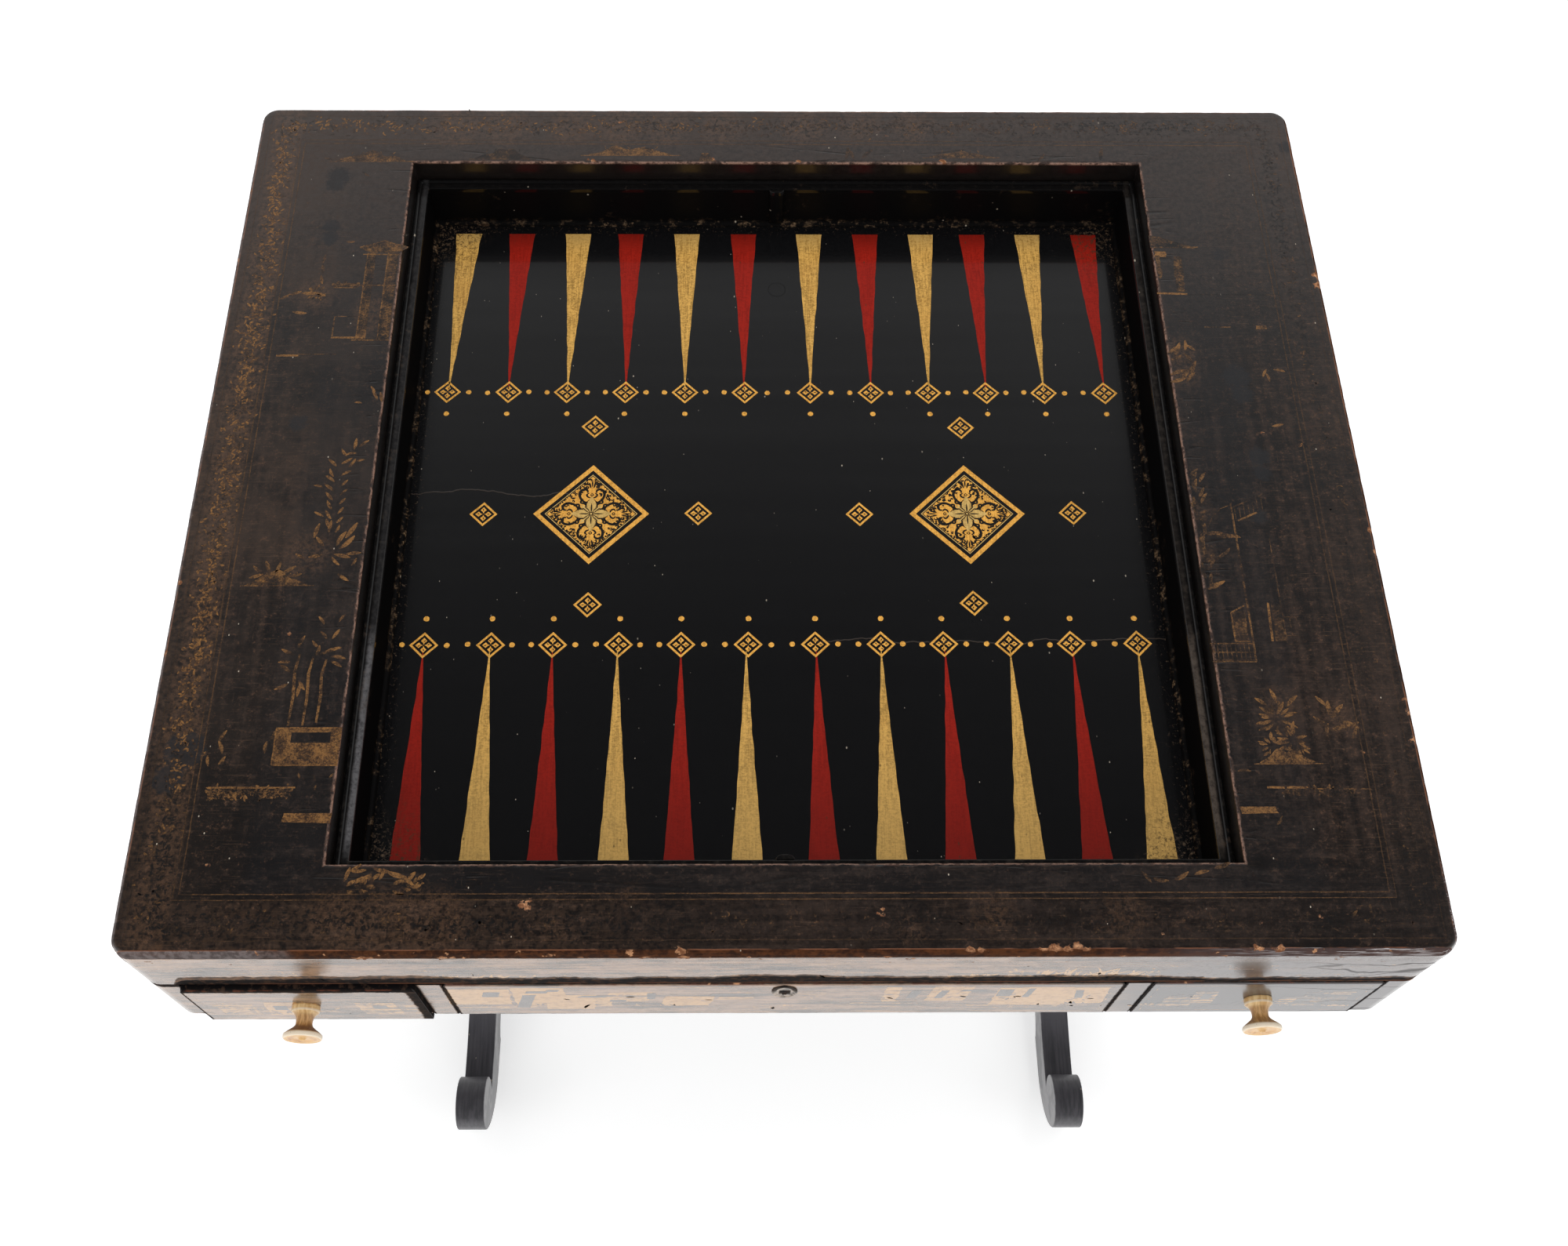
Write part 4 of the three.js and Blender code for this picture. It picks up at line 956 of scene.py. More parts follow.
def worn_metal(name, dark, pale, tarnish_and_shade_colour, oval=0):
    """Old metal, blotched with tarnish; an oval plate takes painted shade along its raised rim, most at the
    top, and round its keyhole.
    """
    metal = Finish(name)
    place = metal.place()
    patches = mottle(place, 170, 5, 0.65)
    fine = mottle(place, 1400, 3, 0.7)
    scratches = plank_marks(place, (2600, 300, 700))
    colour = blend(ease(patches, 0.36, 0.62), dark, pale)
    tarnish_and_shade = ease(fine * 0.4 + patches * 0.6, 0.5, 0.62)
    if oval:
        x, y, z = split(place)
        across, up = x / 0.00775, (z - 0.67) / 0.013
        out = across * across + up * up + (patches - 0.5) * 0.3
        # Painted shade: the raised rim is darkened, most along its top, and a dark patch is laid round the
        # keyhole.
        ring = ease(out, 0.34, 0.5) * ease(up, -0.1, 0.3, 0.15, 1)
        keyhole_shade = ease(most(abs(x) - 0.0034, abs(z - 0.669) - 0.0042) + (patches - 0.5) * 0.001, 0.0004, -0.0002)
        tarnish_and_shade = most(tarnish_and_shade * 0.3, ring, keyhole_shade)
    colour = blend(tarnish_and_shade * 0.7 + oval * 0.2 * tarnish_and_shade, colour, tarnish_and_shade_colour)
    normal = bump(scratches + fine, 0.00004, 0.6)
    shader = metal.shade(Base_Color=colour, Metallic=0.95 - 0.5 * tarnish_and_shade,
        Roughness=0.34 + 0.25 * tarnish_and_shade + 0.1 * scratches, Normal=normal)
    if oval:
        shader = metal.dull(tarnish_and_shade * 0.85, shader, colour, normal)
    return metal.close(shader)


# The playing board's painting

def between(rows, share):
    """The value at a share along rows of (share, value)."""
    for (start, low), (end, high) in zip(rows, rows[1:]):
        if share <= end:
            return low + (high - low) * (share - start) / (end - start)
    return rows[-1][1]


point_widths = ((0, 0.5), (0.04, 1.1), (0.17, 3.3), (0.35, 6.5), (0.55, 10.3), (0.75, 14), (0.92, 17.4),
    (1, 19.2))
back_tips = (-233.7, -191.5, -149.6, -108.2, -66.3, -24.2, 23.1, 66.2, 107.6, 148.3, 189.4, 232.8)
back_bases = (-230.4, -190.6, -148.3, -109.0, -67.0, -24.5, 24.6, 66.8, 108.6, 147.2, 189.0, 231.3)
front_tips = (-232.9, -189.7, -148.9, -106.7, -65.3, -22.8, 22.9, 65.2, 106.9, 149.5, 190.5, 233.2)
front_bases = (-231.0, -188.8, -147.3, -104.0, -64.0, -22.3, 24.6, 66.1, 108.4, 150.9, 192.0, 231.9)
back_diamonds = (-234.4, -191.1, -149.7, -108.3, -66.1, -23.6, 22.8, 66, 106.7, 148.1, 189.2, 232.4)
front_diamonds = (-232.9, -189.4, -149, -106.1, -65.4, -21.5, 22.4, 65.3, 106.4, 149.2, 189.9, 233.5)
medallions = ((-128.3, 1.6), (128.1, 1.6))
middle_diamonds = ((-128.6, 73.1), (-201.5, 1.3), (-55.4, 2), (-127.6, -68.7), (128.1, 72.4), (54.6, 1.3),
    (200.3, 2.4), (128.1, -67.6))


def long_point(paint, tip, base):
    """One of the board's long points, with the slight wander of a hand-painted edge."""
    left, right = [], []
    steps = 44
    drift = paint.some(0, 90)
    for step, (middle, y) in enumerate(along(tip, base, steps)):
        share = step / steps
        half = between(point_widths, share) / 2
        wander = min(1, share * 6) * 0.55
        left.append((middle - half + wander * waver(drift, y * 0.09, 0), y))
        right.append((middle + half + wander * waver(drift + 7, y * 0.09, 0), y))
    paint.band(left, right) if tip[1] > base[1] else paint.band(right, left)


def small_diamond(gilt, ink, u, v):
    gilt.lozenge(u, v, 9.5, 7.5)
    for turn in range(0, 360, 90):
        kite = ((0.5, 0), (1.9, -0.6), (2.7, -1.6), (3.2, -2.0), (5.5, 0), (3.2, 2.0), (2.7, 1.6), (1.9, 0.6))
        gilt.shape([off(*off(u, v, turn, along), turn + 90, aside) for along, aside in kite])
        ink.leaf(*off(u, v, turn, 2.6), turn + gilt.some(-50, 50), 1.7, 0.8)


def medallion(gilt, ink, pale, u, v):
    """A large diamond of gilt scrollwork: black scrolls on gold round a pale rosette."""
    dice, some = gilt.dice, gilt.some
    gilt.lozenge(u, v, 39.4, 35.0)
    pale.lozenge(u, v, 31.6, 30.8)
    gilt.lozenge(u, v, 30.0)

    def spot(turn, reach, aside=0.0):
        return off(*off(u, v, turn, reach), turn + 90, aside)

    for turn in range(0, 360, 90):
        for hand in (-1, 1):
            lyre = [(8.6, 2.2), (9.6, 5.2), (12.2, 7.6), (15.4, 8.5), (18.4, 7.6), (19.6, 5.2), (18.6, 3.2),
                (16.8, 3.0)]
            ink.stroke([spot(turn, reach, hand * aside) for reach, aside in smooth_profile(lyre, 3)], 1.9,
                tip=0.35)
            ink.stroke([spot(turn, reach, hand * aside)
                for reach, aside in smooth_profile([(12.6, 0.6), (13.4, 2.6), (15.2, 3.6), (16.6, 2.0)], 3)],
                1.3)
            for reach, aside, size in ((21.6, 3.6, 1.5), (24.4, 2.8, 1.2), (23.6, 5.9, 1.0),
                    (26.8, 1.5, 0.9)):
                ink.curl(*spot(turn, reach + some(-0.4, 0.4), hand * aside), turn + some(0, 360), size, 1.1,
                    hand)
            ink.leaf(*spot(turn, 20.6, hand * 1.0), turn + hand * 14, 4.6, 1.3)
        ink.disc(*spot(turn, 15.2), 1.2)
        gilt.disc(*spot(turn, 15.2), 0.55, coat=3)
        ink.leaf(*spot(turn, 21.5), turn, 5.6, 1.1)
        across = turn + 45
        for hand in (-1, 1):
            petal = [(1.6, 0.3), (3.8, 1.5), (6.6, 2.5), (9.4, 2.3), (11.2, 0.7)]
            ink.stroke([spot(across, reach, hand * aside) for reach, aside in smooth_profile(petal, 3)], 1.7,
                tip=0.5)
            ink.leaf(*spot(across, 11.0, hand * 0.4), across + hand * 35, 4.4, 1.5, bend=hand * 30)
        for place in range(-10, 11):
            along = place * 1.85 + some(-0.5, 0.5)
            for depth in (21.0, 18.7, 16.4):
                if abs(along) > 27.5 - depth and depth < 18:
                    continue
                aside = along + some(-0.7, 0.7)
                if abs(aside) > 17.5 or (depth < 20 and dice.random() < 0.35):
                    continue
                centre = spot(across, depth + some(-0.5, 0.5), aside)
                if dice.random() < 0.5:
                    ink.curl(*centre, some(0, 360), some(0.8, 1.35), 1.05, dice.choice((-1, 1)))
                else:
                    ink.leaf(*centre, some(0, 360), some(1.4, 2.6), some(1.1, 1.7))
        pale.leaf(*spot(turn, 1.4), turn, 12.0, 5.2)
        for hand in (-1, 1):
            pale.leaf(*spot(turn, 3.2, hand * 0.6), turn + hand * 24, 6.6, 3.4, bend=-hand * 14)
        pale.leaf(*spot(across, 2.2), across, 7.6, 2.5)
        ink.leaf(*spot(turn, 0.8), turn, 7.4, 1.0, coat=2)
        for hand in (-1, 1):
            ink.stroke([spot(turn, reach, hand * aside) for reach, aside in ((2.4, 1.6), (5.2, 4.0),
                (9.0, 3.8), (11.4, 1.4))], 0.9, coat=2)
    ink.disc(u, v, 1.5, coat=1, sides=20, rough=0.02)
    pale.disc(u, v, 0.8, coat=1, sides=20, rough=0.02)


def paint_board():
    def coats(lift, thick, seed):
        return Painting(lambda u, v, coat: at(u, v, board_face + 0.04 + lift + thick * coat), seed)

    gilt, scarlet = coats(0, 0.03, 11), coats(0, 0, 12)
    ink, pale, bright = coats(0.03, 0.03, 13), coats(0.045, 0.03, 14), coats(0, 0.03, 15)
    for index in range(12):
        back_coat, front_coat = (gilt, scarlet) if index % 2 == 0 else (scarlet, gilt)
        long_point(back_coat, (back_tips[index], 106), (back_bases[index], 247.6))
        long_point(front_coat, (front_tips[index], -103), (front_bases[index], -247.6))
        small_diamond(bright, ink, back_diamonds[index], 102.7 - 0.6 * index / 11)
        small_diamond(bright, ink, front_diamonds[index], -98.6 + 0.9 * index / 11)
        bright.disc(back_diamonds[index] + bright.some(-0.6, 0.8), 84.1, 1.9)
        bright.disc(front_diamonds[index] + bright.some(-0.6, 0.8), -79.1, 1.95)
    for row, y in ((back_diamonds, 102.4), (front_diamonds, -98.2)):
        for first, second in zip(row, row[1:]):
            for share in (0.345, 0.655):
                bright.disc(first + (second - first) * share, y + bright.some(-0.5, 0.5), 1.9)
        bright.disc(row[0] - 14.2, y, 1.8)
    for u, v in middle_diamonds:
        small_diamond(bright, ink, u, v)
    for u, v in medallions:
        medallion(bright, ink, pale, u, v)
    for painting, name, finish in ((gilt, "board_gilt_points", board_gold),
            (bright, "board_gilding", board_bright_gold), (scarlet, "board_red_points", board_red),
            (ink, "board_scrollwork", board_ink), (pale, "board_rosettes", board_pale_gold)):
        painting.piece(name, finish, "table", "board_lacquer")


# Gilding of the frame and the case

class Gilding(Painting):
    """Gilt gardens: what such lacquer is painted with, in plain motifs."""

    def cloud_bank(self, u, v, length, strength, rise=4.0):
        """A low island: a thin base line with humps above it."""
        drift = self.some(0, 50)
        low, high = along((u - length / 2, v), (u + length / 2, v), 18), []
        for step, (foot, _) in enumerate(low):
            hump = math.sin(math.pi * step / 18) * (1 + 0.8 * waver(drift, step / 18 * 5, 0))
            high.append((foot, v + 0.5 + rise * max(hump, 0)))
        self.band(low, high, strength * 0.85)
        self.line((u - length * 0.6, v - 0.6), (u + length * 0.62, v - 0.4), 0.8, strength)
        for step in range(5):
            self.leaf(u - length * 0.3 + step * length * 0.15, v + rise * 0.8, 90 + self.some(-50, 50), 3.4,
                0.9, strength)

    def tuft(self, u, v, width, tall, strength):
        """Grass and leaves that rise from a low line."""
        for _ in range(int(width * 0.7)):
            aside = self.some(-0.5, 0.5)
            self.leaf(u + aside * width, v + self.some(0, 0.25) * tall, 90 - aside * 70 + self.some(-22, 22),
                tall * self.some(0.4, 1) * (1 - 0.9 * aside * aside), self.some(1.6, 2.8),
                strength * self.some(0.6, 1.1), bend=self.some(-25, 25))

    def patch(self, u, v, width, tall, lean, strength, rough=1.4):
        """A worn block of paint with ragged sides, its top moved over by the lean."""
        drift = self.some(0, 90)
        left, right = ([(x + rough * waver(drift + hand * 9, (y - v) * 0.22, 0), y)
            for x, y in along((u + hand * width / 2, v), (u + hand * width / 2 + lean, v + tall), 14)]
            for hand in (-1, 1))
        right[0] = (right[0][0], v + rough * self.some(-0.6, 0.6))
        self.band(left, right, strength)

    def foliage(self, u, v, reach, strength, count=10):
        """Separate pointed leaves that stand out from a place all round."""
        for index in range(count):
            turn = 360 * index / count + self.some(-16, 16)
            start = self.some(0.18, 0.55) * reach
            self.leaf(*off(u, v, turn, start), turn + self.some(-25, 25), self.some(0.38, 0.62) * reach,
                self.some(1.5, 2.3), strength * self.some(0.6, 1.1))

    def spray(self, u, v, turn, length, strength, bend=0.0, leaf=6.4):
        """Pairs of leaves that stand off an unseen stem."""
        pitch = leaf * 0.8
        steps = max(2, int(length / pitch))
        x, y = u, v
        for step in range(steps):
            angle = turn + bend * step / steps
            for hand in (-1, 1):
                self.leaf(*off(x, y, angle + hand * 90, self.some(1.1, 1.8)),
                    angle + hand * self.some(30, 48), leaf * self.some(0.8, 1.2), self.some(2.0, 2.8),
                    strength * self.some(0.65, 1.1), bend=-hand * 16)
            x, y = off(x, y, angle, pitch)
        self.leaf(x, y, turn + bend, leaf, 2.4, strength)

    def tree(self, u, v, height, strength, width=2.0):
        """A bare trunk with a few separate leaves at its head."""
        crown = v + height
        lean = self.some(-2, 2)
        self.stroke([(u, v), (u + 0.8, v + height * 0.35), (u - 0.6, v + height * 0.7), (u + lean, crown)],
            width, strength * 0.9, tip=0.7)
        for turn in (20, 58, 90, 124, 162):
            reach = self.some(1.5, 3.5)
            self.leaf(*off(u + lean, crown, turn, reach), turn + self.some(-10, 10), self.some(6.5, 9.5),
                2.3, strength * 1.3)
        for share, hand in ((0.62, -1), (0.7, 1), (0.82, -1), (0.88, 1)):
            self.leaf(u + hand * 2.2, v + height * share, 90 - hand * 52, self.some(5.5, 8), 2.2,
                strength * 1.1)

    def pavilion(self, u, v, width, height, strength, roof=16.0):
        """A small garden house: broad posts, a sill and lintels under a roof with upturned corners."""
        half = width / 2
        for low, high in ((-half, -half * 0.42), (half * 0.3, half)):
            self.band([(u + low, v), (u + low + 0.3, v + height)],
                [(u + high, v), (u + high - 0.2, v + height)], strength * 0.72)
            self.line((u + low, v), (u + low + 0.3, v + height), 0.9, strength * 1.1, 1)
        for level in (0, height * 0.62, height - 1.5):
            self.line((u - half - 3, v + level), (u + half + 1, v + level), 1.1, strength, 1)
        left, right = [], []
        for step in range(13):
            share = step / 12 * 2 - 1
            eave = v + height + 4.5 * abs(share) ** 3
            ridge = v + height + roof * (1 - abs(share)) ** 0.62 + 4.5 * abs(share) ** 3
            left.append((u + share * (half + 6), eave))
            right.append((u + share * (half + 6), max(ridge, eave + 0.6)))
        self.band(left, right, strength * 0.8)
        self.stroke(right, 1.0, strength * 1.1, coat=1, tip=0.6)

    def fence(self, left, right, low, height, strength, bars):
        for row in (0, 0.5, 1):
            self.line((left, low + height * row), (right, low + height * row), 0.8, strength)
        for bar in range(bars + 1):
            place = left + (right - left) * bar / bars
            self.line((place, low), (place, low + height), 0.7, strength * 0.9)

    def planter(self, left, right, low, height, strength):
        """A trough: a filled block with a pale rim and a dark slot in it."""
        middle, width = (left + right) / 2, right - left
        for start, end in ((0, 0.6), (0.88, 1)):
            self.block(left, low + height * start, right, low + height * end, strength * 0.8)
        for start, end in ((-0.5, -0.26), (0.34, 0.5)):
            near, far = middle + width * start, middle + width * end
            self.band([(near, low + height * 0.6), (near, low + height * 0.88)],
                [(far, low + height * 0.6), (far, low + height * 0.88)], strength * 0.8)
        for edge in (0, height):
            self.line((left, low + edge), (right, low + edge), 0.9, strength * 1.15, 1)
        self.line((left, low), (left, low + height), 0.9, strength * 1.15, 1)

    def leaves(self, strength, *places):
        """Single leaves: foot, turn and length of each."""
        for u, v, turn, length in places:
            self.leaf(u, v, turn, length, length * 0.21 + 0.5, strength * self.some(0.85, 1.1),
                bend=self.some(-16, 16))

    def rock(self, u, v, size, strength):
        for step in range(7):
            share = step / 6
            self.leaf(u - size + 2 * size * share, v, 90 + (0.5 - share) * 70 + self.some(-10, 10),
                size * self.some(0.5, 1.1), 3.6, strength * self.some(0.6, 1))
        self.line((u - size * 1.2, v), (u + size * 1.2, v), 1.0, strength)

    def scrolls(self, start, end, pitch, size, strength_at):
        """A running band of small close leaves and bows, worn to little more than glints."""
        run = Vector((end[0] - start[0], end[1] - start[1]))
        count = max(1, int(run.length / pitch))
        turn = math.degrees(math.atan2(run.y, run.x))
        aside = Vector((-run.y, run.x)).normalized()
        for index in range(count):
            share = (index + 0.5) / count
            u, v = start[0] + run.x * share, start[1] + run.y * share
            strength = strength_at(u, v)
            sway = size * 0.5 * math.sin(index * 1.9)
            for _ in range(8):
                out = self.dice.gauss(sway * 0.5, size * 0.62)
                along = self.some(-0.5, 0.5) * pitch / run.length
                x, y = u + aside.x * out + run.x * along, v + aside.y * out + run.y * along
                self.leaf(x, y, turn + self.dice.choice((40, 140, 220, 320)) + self.some(-30, 30),
                    self.some(1.6, 4.2), self.some(0.9, 1.6), strength * self.some(0.45, 1.5),
                    bend=self.some(-60, 60))
            if index % 2 == 0:
                self.curl(u + aside.x * sway, v + aside.y * sway, turn + self.some(0, 360), size * 0.4, 0.7,
                    self.dice.choice((-1, 1)), strength * 0.8, sweep=150)


def gild_frame():
    gilt = Gilding(lambda u, v, coat: at(u, v, table_height - skin + 0.008 + 0.014 * coat), 21)
    for inset, width, share in ((35.6, 0.8, 1.0), (32.2, 0.7, 0.85), (8.6, 0.6, 0.4)):
        x, y = half_width - inset, half_depth - inset
        for start, end, strength in (((-x, -y), (-x, y), 0.3), ((x, -y), (x, y), 0.2),
                ((-x, y), (x, y), 0.26), ((-x, -y), (x, -y), 0.34)):
            gilt.line(start, end, width, 2 + strength * share)
    band_x, band_y = half_width - 21.5, half_depth - 18

    def fading(u, v):
        leftward = min(max((-u + 60) / 400, 0), 1)
        return (0.34 + 0.4 * leftward) * gilt.some(0.5, 1.15)

    gilt.scrolls((-band_x, -band_y), (-band_x, band_y), 3.6, 6.4,
        lambda u, v: (0.95 - 0.6 * min(max((-v - 150) / 110, 0), 1)) * gilt.some(0.5, 1.3))
    gilt.scrolls((-band_x, band_y), (band_x, band_y), 4.6, 6.0, fading)
    gilt.scrolls((band_x, -band_y), (band_x, band_y), 7, 5.0, lambda u, v: 0.2 * gilt.some(0.5, 1.2))
    gilt.scrolls((-band_x, -band_y), (band_x, -band_y), 5, 6.0,
        lambda u, v: (0.24 if u < -180 else 0.17) * gilt.some(0.4, 1.2))
    gild_left_side(gilt)
    gild_right_side(gilt)
    gilt.cloud_bank(-107, 274, 60, 0.62, 7)
    gilt.cloud_bank(134, 272.5, 46, 0.5, 4.5)
    gilt.cloud_bank(-200, 270, 40, 0.22, 8)
    gilt.band([(-57, 268), (-46, 268)], [(-55, 276), (-50, 276)], 0.5)
    gilt.leaves(0.3, (50, 270, 70, 12), (56, 270, 100, 12), (62, 271, 60, 12), (190, 269, 40, 9),
        (236, 270, 80, 12))
    for u, length in ((-250, 18), (-224, 18)):
        gilt.spray(u, -281, 10, length, 0.75, 30, 6)
    gilt.leaves(0.85, (-252, -277, 74, 9), (-250, -271, 20, 8), (-240, -270, 190, 8), (-236, -269, -24, 10),
        (-228, -271, -28, 12), (-219, -274, -34, 9), (-246, -276, 8, 7), (-232, -276, 60, 7),
        (-214, -280, 30, 8))
    gilt.foliage(-240, -281, 9, 0.5, 12)
    gilt.foliage(-212, -281, 7, 0.45, 10)
    gilt.leaves(0.5, (204, -272, -50, 8), (210, -276, -24, 9), (222, -277, 14, 10), (234, -274, 26, 9),
        (246, -270, 8, 10))
    gilt.piece("frame_gilding", frame_gilt)


def gild_left_side(gilt):
    gilt.cloud_bank(-295, 267.5, 50, 0.62, 7.5)
    gilt.leaves(0.4, (-300, 257, -30, 7), (-322, 268, 150, 7))
    gilt.pavilion(-277, 106, 22, 76, 0.55, 11)
    gilt.lines((-305, 108, -283, 108, 1.6, 0.85), (-304.5, 109, -304.5, 126, 1.0, 0.45),
        (-304.5, 126, -290, 126, 0.8, 0.35))
    gilt.leaves(0.85, (-344, 141, 20, 8), (-338, 144, 30, 9), (-330, 146, 8, 10), (-322, 147, -12, 9),
        (-326, 144, 40, 6), (-318, 143, 30, 6), (-307, 152, 24, 8), (-300, 154, -6, 8), (-334, 130, -14, 10),
        (-304, 192, -10, 6))
    gilt.rock(-300, 151, 6, 0.6)
    gilt.foliage(-320, 146, 7, 0.7, 14)
    gilt.lines((-340, 93, -325, 93, 1.8, 0.8), (-325, 94, -300, 94, 0.7, 0.4))
    gilt.leaves(0.5, (-317, 180, -95, 8), (-318, 172, -85, 9), (-318, 162, -80, 8))
    gilt.leaves(0.95, (-268, 57, 118, 8), (-265, 55, 98, 8), (-278, 54, 160, 5), (-270, 63, 130, 6),
        (-279, 17, 82, 9), (-276, 19, 48, 8), (-284, 13, 24, 7), (-283, 12, 140, 7), (-286, 6, 30, 8),
        (-281, 3, 54, 8), (-289, 4, 128, 8), (-277, 8, 20, 6), (-290, -4, 130, 7), (-285, -3, 44, 7))
    for step in range(6):
        level = -8 - step * 7
        gilt.leaves(0.85, (-289 + step * 0.3, level, 128, 8), (-284, level - 3, 56, 6))
    gilt.leaves(1.0, (-293, -34, 150, 7), (-296, -12, 152, 6))
    gilt.leaves(0.85, (-282, -56, 80, 12), (-277, -50, 60, 13), (-280, -58, 38, 13), (-276, -62, 10, 10),
        (-283, -62, -8, 11), (-284, -64, -60, 8), (-290, -62, 200, 9), (-301, -65, 150, 7),
        (-290, -56, 128, 9), (-297, -50, 84, 11), (-288, -46, 92, 9), (-279, -76, -40, 9), (-271, -70, 52, 6))
    gilt.cloud_bank(-316, -84, 38, 0.55, 7.5)
    gilt.leaves(1.0, (-334, -79, 12, 9), (-330, -81, 4, 8))
    gilt.leaves(0.6, (-322, -75, 100, 9), (-318, -75, 60, 8), (-314, -76, 30, 10), (-327, -76, 130, 8),
        (-309, -78, 14, 8))
    gilt.planter(-303, -264, -205.5, 24, 0.85)
    for u, low, tall in ((-296.5, -180, 48), (-288, -180, 46), (-280, -178, 42)):
        gilt.stroke([(u, low), (u + 0.6, low + tall * 0.4), (u - 0.5, low + tall * 0.75),
            (u + 1.2, low + tall)], 1.9, 0.62, tip=0.6)
    gilt.leaves(0.7, (-299, -133, 150, 9), (-300, -138, 165, 8), (-299, -145, 140, 9), (-297, -128, 78, 9),
        (-300, -152, 220, 9), (-294, -150, 300, 8), (-286, -134, 60, 8), (-284, -133, 20, 9),
        (-279, -131, 34, 9), (-276, -134, 4, 9), (-276, -137, -24, 8), (-280, -122, 120, 7),
        (-277, -122, 62, 8), (-283, -112, 112, 7), (-274, -110, 70, 6), (-284, -128, 150, 7),
        (-292, -152, 250, 9))
    gilt.leaves(0.6, (-334, -208, 80, 9), (-333, -198, 96, 9), (-336, -190, 70, 8), (-340, -206, 110, 7),
        (-306, -190, 60, 8), (-308, -198, 100, 8), (-345, -202, 80, 6))
    gilt.line((-338, -219.6), (-287, -219.6), 1.2, 0.85)
    gilt.scrolls((-338, -223.6), (-290, -223.0), 2.4, 2.4, lambda u, v: 0.55)
    gilt.patch(-278, -241, 28, 5.5, 0, 0.85)
    gilt.leaves(0.4, (-285, -214, 120, 4), (-276, -216, 100, 4), (-268, -214, 60, 4), (-276, -222, 80, 4))


def gild_right_side(gilt):
    gilt.band([(263, 188), (297, 187)], [(263, 199), (270, 198)], 0.34)
    gilt.line((263, 188), (297, 188.5), 0.9, 0.5)
    gilt.patch(269, 180, 8, 4.5, 0, 0.9)
    gilt.patch(280, 149, 6, 31, 1, 0.4)
    gilt.patch(267, 160, 3, 21, 0, 0.35)
    gilt.lines((263, 147.5, 284, 146.5, 1.8, 0.8), (284, 146, 348, 146, 0.6, 0.2),
        (292, 118, 310, 118, 0.9, 0.35))
    gilt.patch(331, 116, 8, 3.2, 0, 0.55)
    gilt.leaves(0.75, (264, 95, 40, 12), (268, 93, 62, 13), (276, 98, 70, 9), (283, 98, 130, 8),
        (265, 90, 20, 10), (264, 78, 24, 12), (270, 74, 46, 12), (278, 78, 80, 12), (263, 72, 6, 12),
        (274, 72, 60, 10), (280, 88, 110, 9), (334, 82, 4, 8), (326, 76, 70, 7), (330, 72, 86, 7),
        (326, 36, 8, 8), (341, 19, 40, 5))
    for step in range(22):
        level = -4 - step * 4
        gilt.leaves(0.42, (266 + (step * 37 % 6), level, 58 + step * 13 % 50, 9))
    gilt.leaves(0.6, (270, -47, 4, 12), (276, -49, 10, 14), (284, -48, 0, 9), (275, -66, 40, 9),
        (279, -63, 30, 8), (266, -87, 10, 9), (268, -85, 6, 11), (272, -8, 70, 9), (268, -14, 84, 9))
    gilt.line((290, -24), (290, -138), 1.3, 0.45)
    for level in (-125.5, -138):
        gilt.line((263, level), (290, level), 0.8, 0.55)
    gilt.fence(264.5, 289.5, -137, 11, 0.4, 9)
    gilt.stroke([(273, -42), (277, -34), (283, -28), (290, -25)], 0.8, 0.5)
    gilt.lines((291, -27, 312, -17, 0.8, 0.35), (293, -37, 306, -31, 1.4, 0.5))
    for step in range(7):
        gilt.line((292 + step * 3, -36 + step * 1.2), (292 + step * 3, -26 + step * 1.2), 0.6, 0.28)
    gilt.patch(283, -124, 8, 21, 1, 0.34)
    for start, end in (((279, -124), (279, -104)), ((279, -104), (288, -99)), ((279, -124), (288, -124))):
        gilt.line(start, end, 1.1, 0.7, 1)
    gilt.line((303, -97), (302, -124), 1.6, 0.75)
    gilt.patch(307, -124, 6, 26, 1, 0.25)
    gilt.line((311, -50), (311, -125), 0.7, 0.28)
    for level in (-107, -120, -126):
        gilt.line((311, level), (347, level), 0.6, 0.24)
    for step in range(8):
        gilt.line((315 + step * 4, -120), (315 + step * 4, -107), 0.5, 0.15)
    gilt.leaves(0.6, (330, -176, 60, 12), (330, -176, 108, 12), (328, -184, 20, 12), (334, -178, -8, 12),
        (336, -184, 30, 11), (326, -180, 150, 9), (328, -168, 130, 9), (340, -190, 60, 9), (325, -188, 90, 9))
    gilt.cloud_bank(299, -205, 34, 0.6, 7)
    gilt.foliage(296, -176, 14, 0.75, 22)
    gilt.foliage(304, -190, 12, 0.8, 18)
    gilt.foliage(292, -194, 10, 0.7, 14)
    gilt.leaves(0.8, (298, -166, 100, 10), (292, -168, 130, 9), (304, -168, 60, 10))
    gilt.lines((284, -220.5, 308, -220.5, 1.5, 0.85), (306, -221.5, 345, -221.5, 1.1, 0.5))
    gilt.scrolls((292, -223.6), (338, -223.6), 3.6, 1.8, lambda u, v: 0.35)
    gilt.patch(277, -237, 23, 4.5, 0, 0.6, 2.4)
    gilt.leaves(0.35, (286, -244, 40, 7), (268, -210, 10, 8), (320, -300, 60, 6), (324, -303, 20, 7),
        (332, -297, 100, 6))


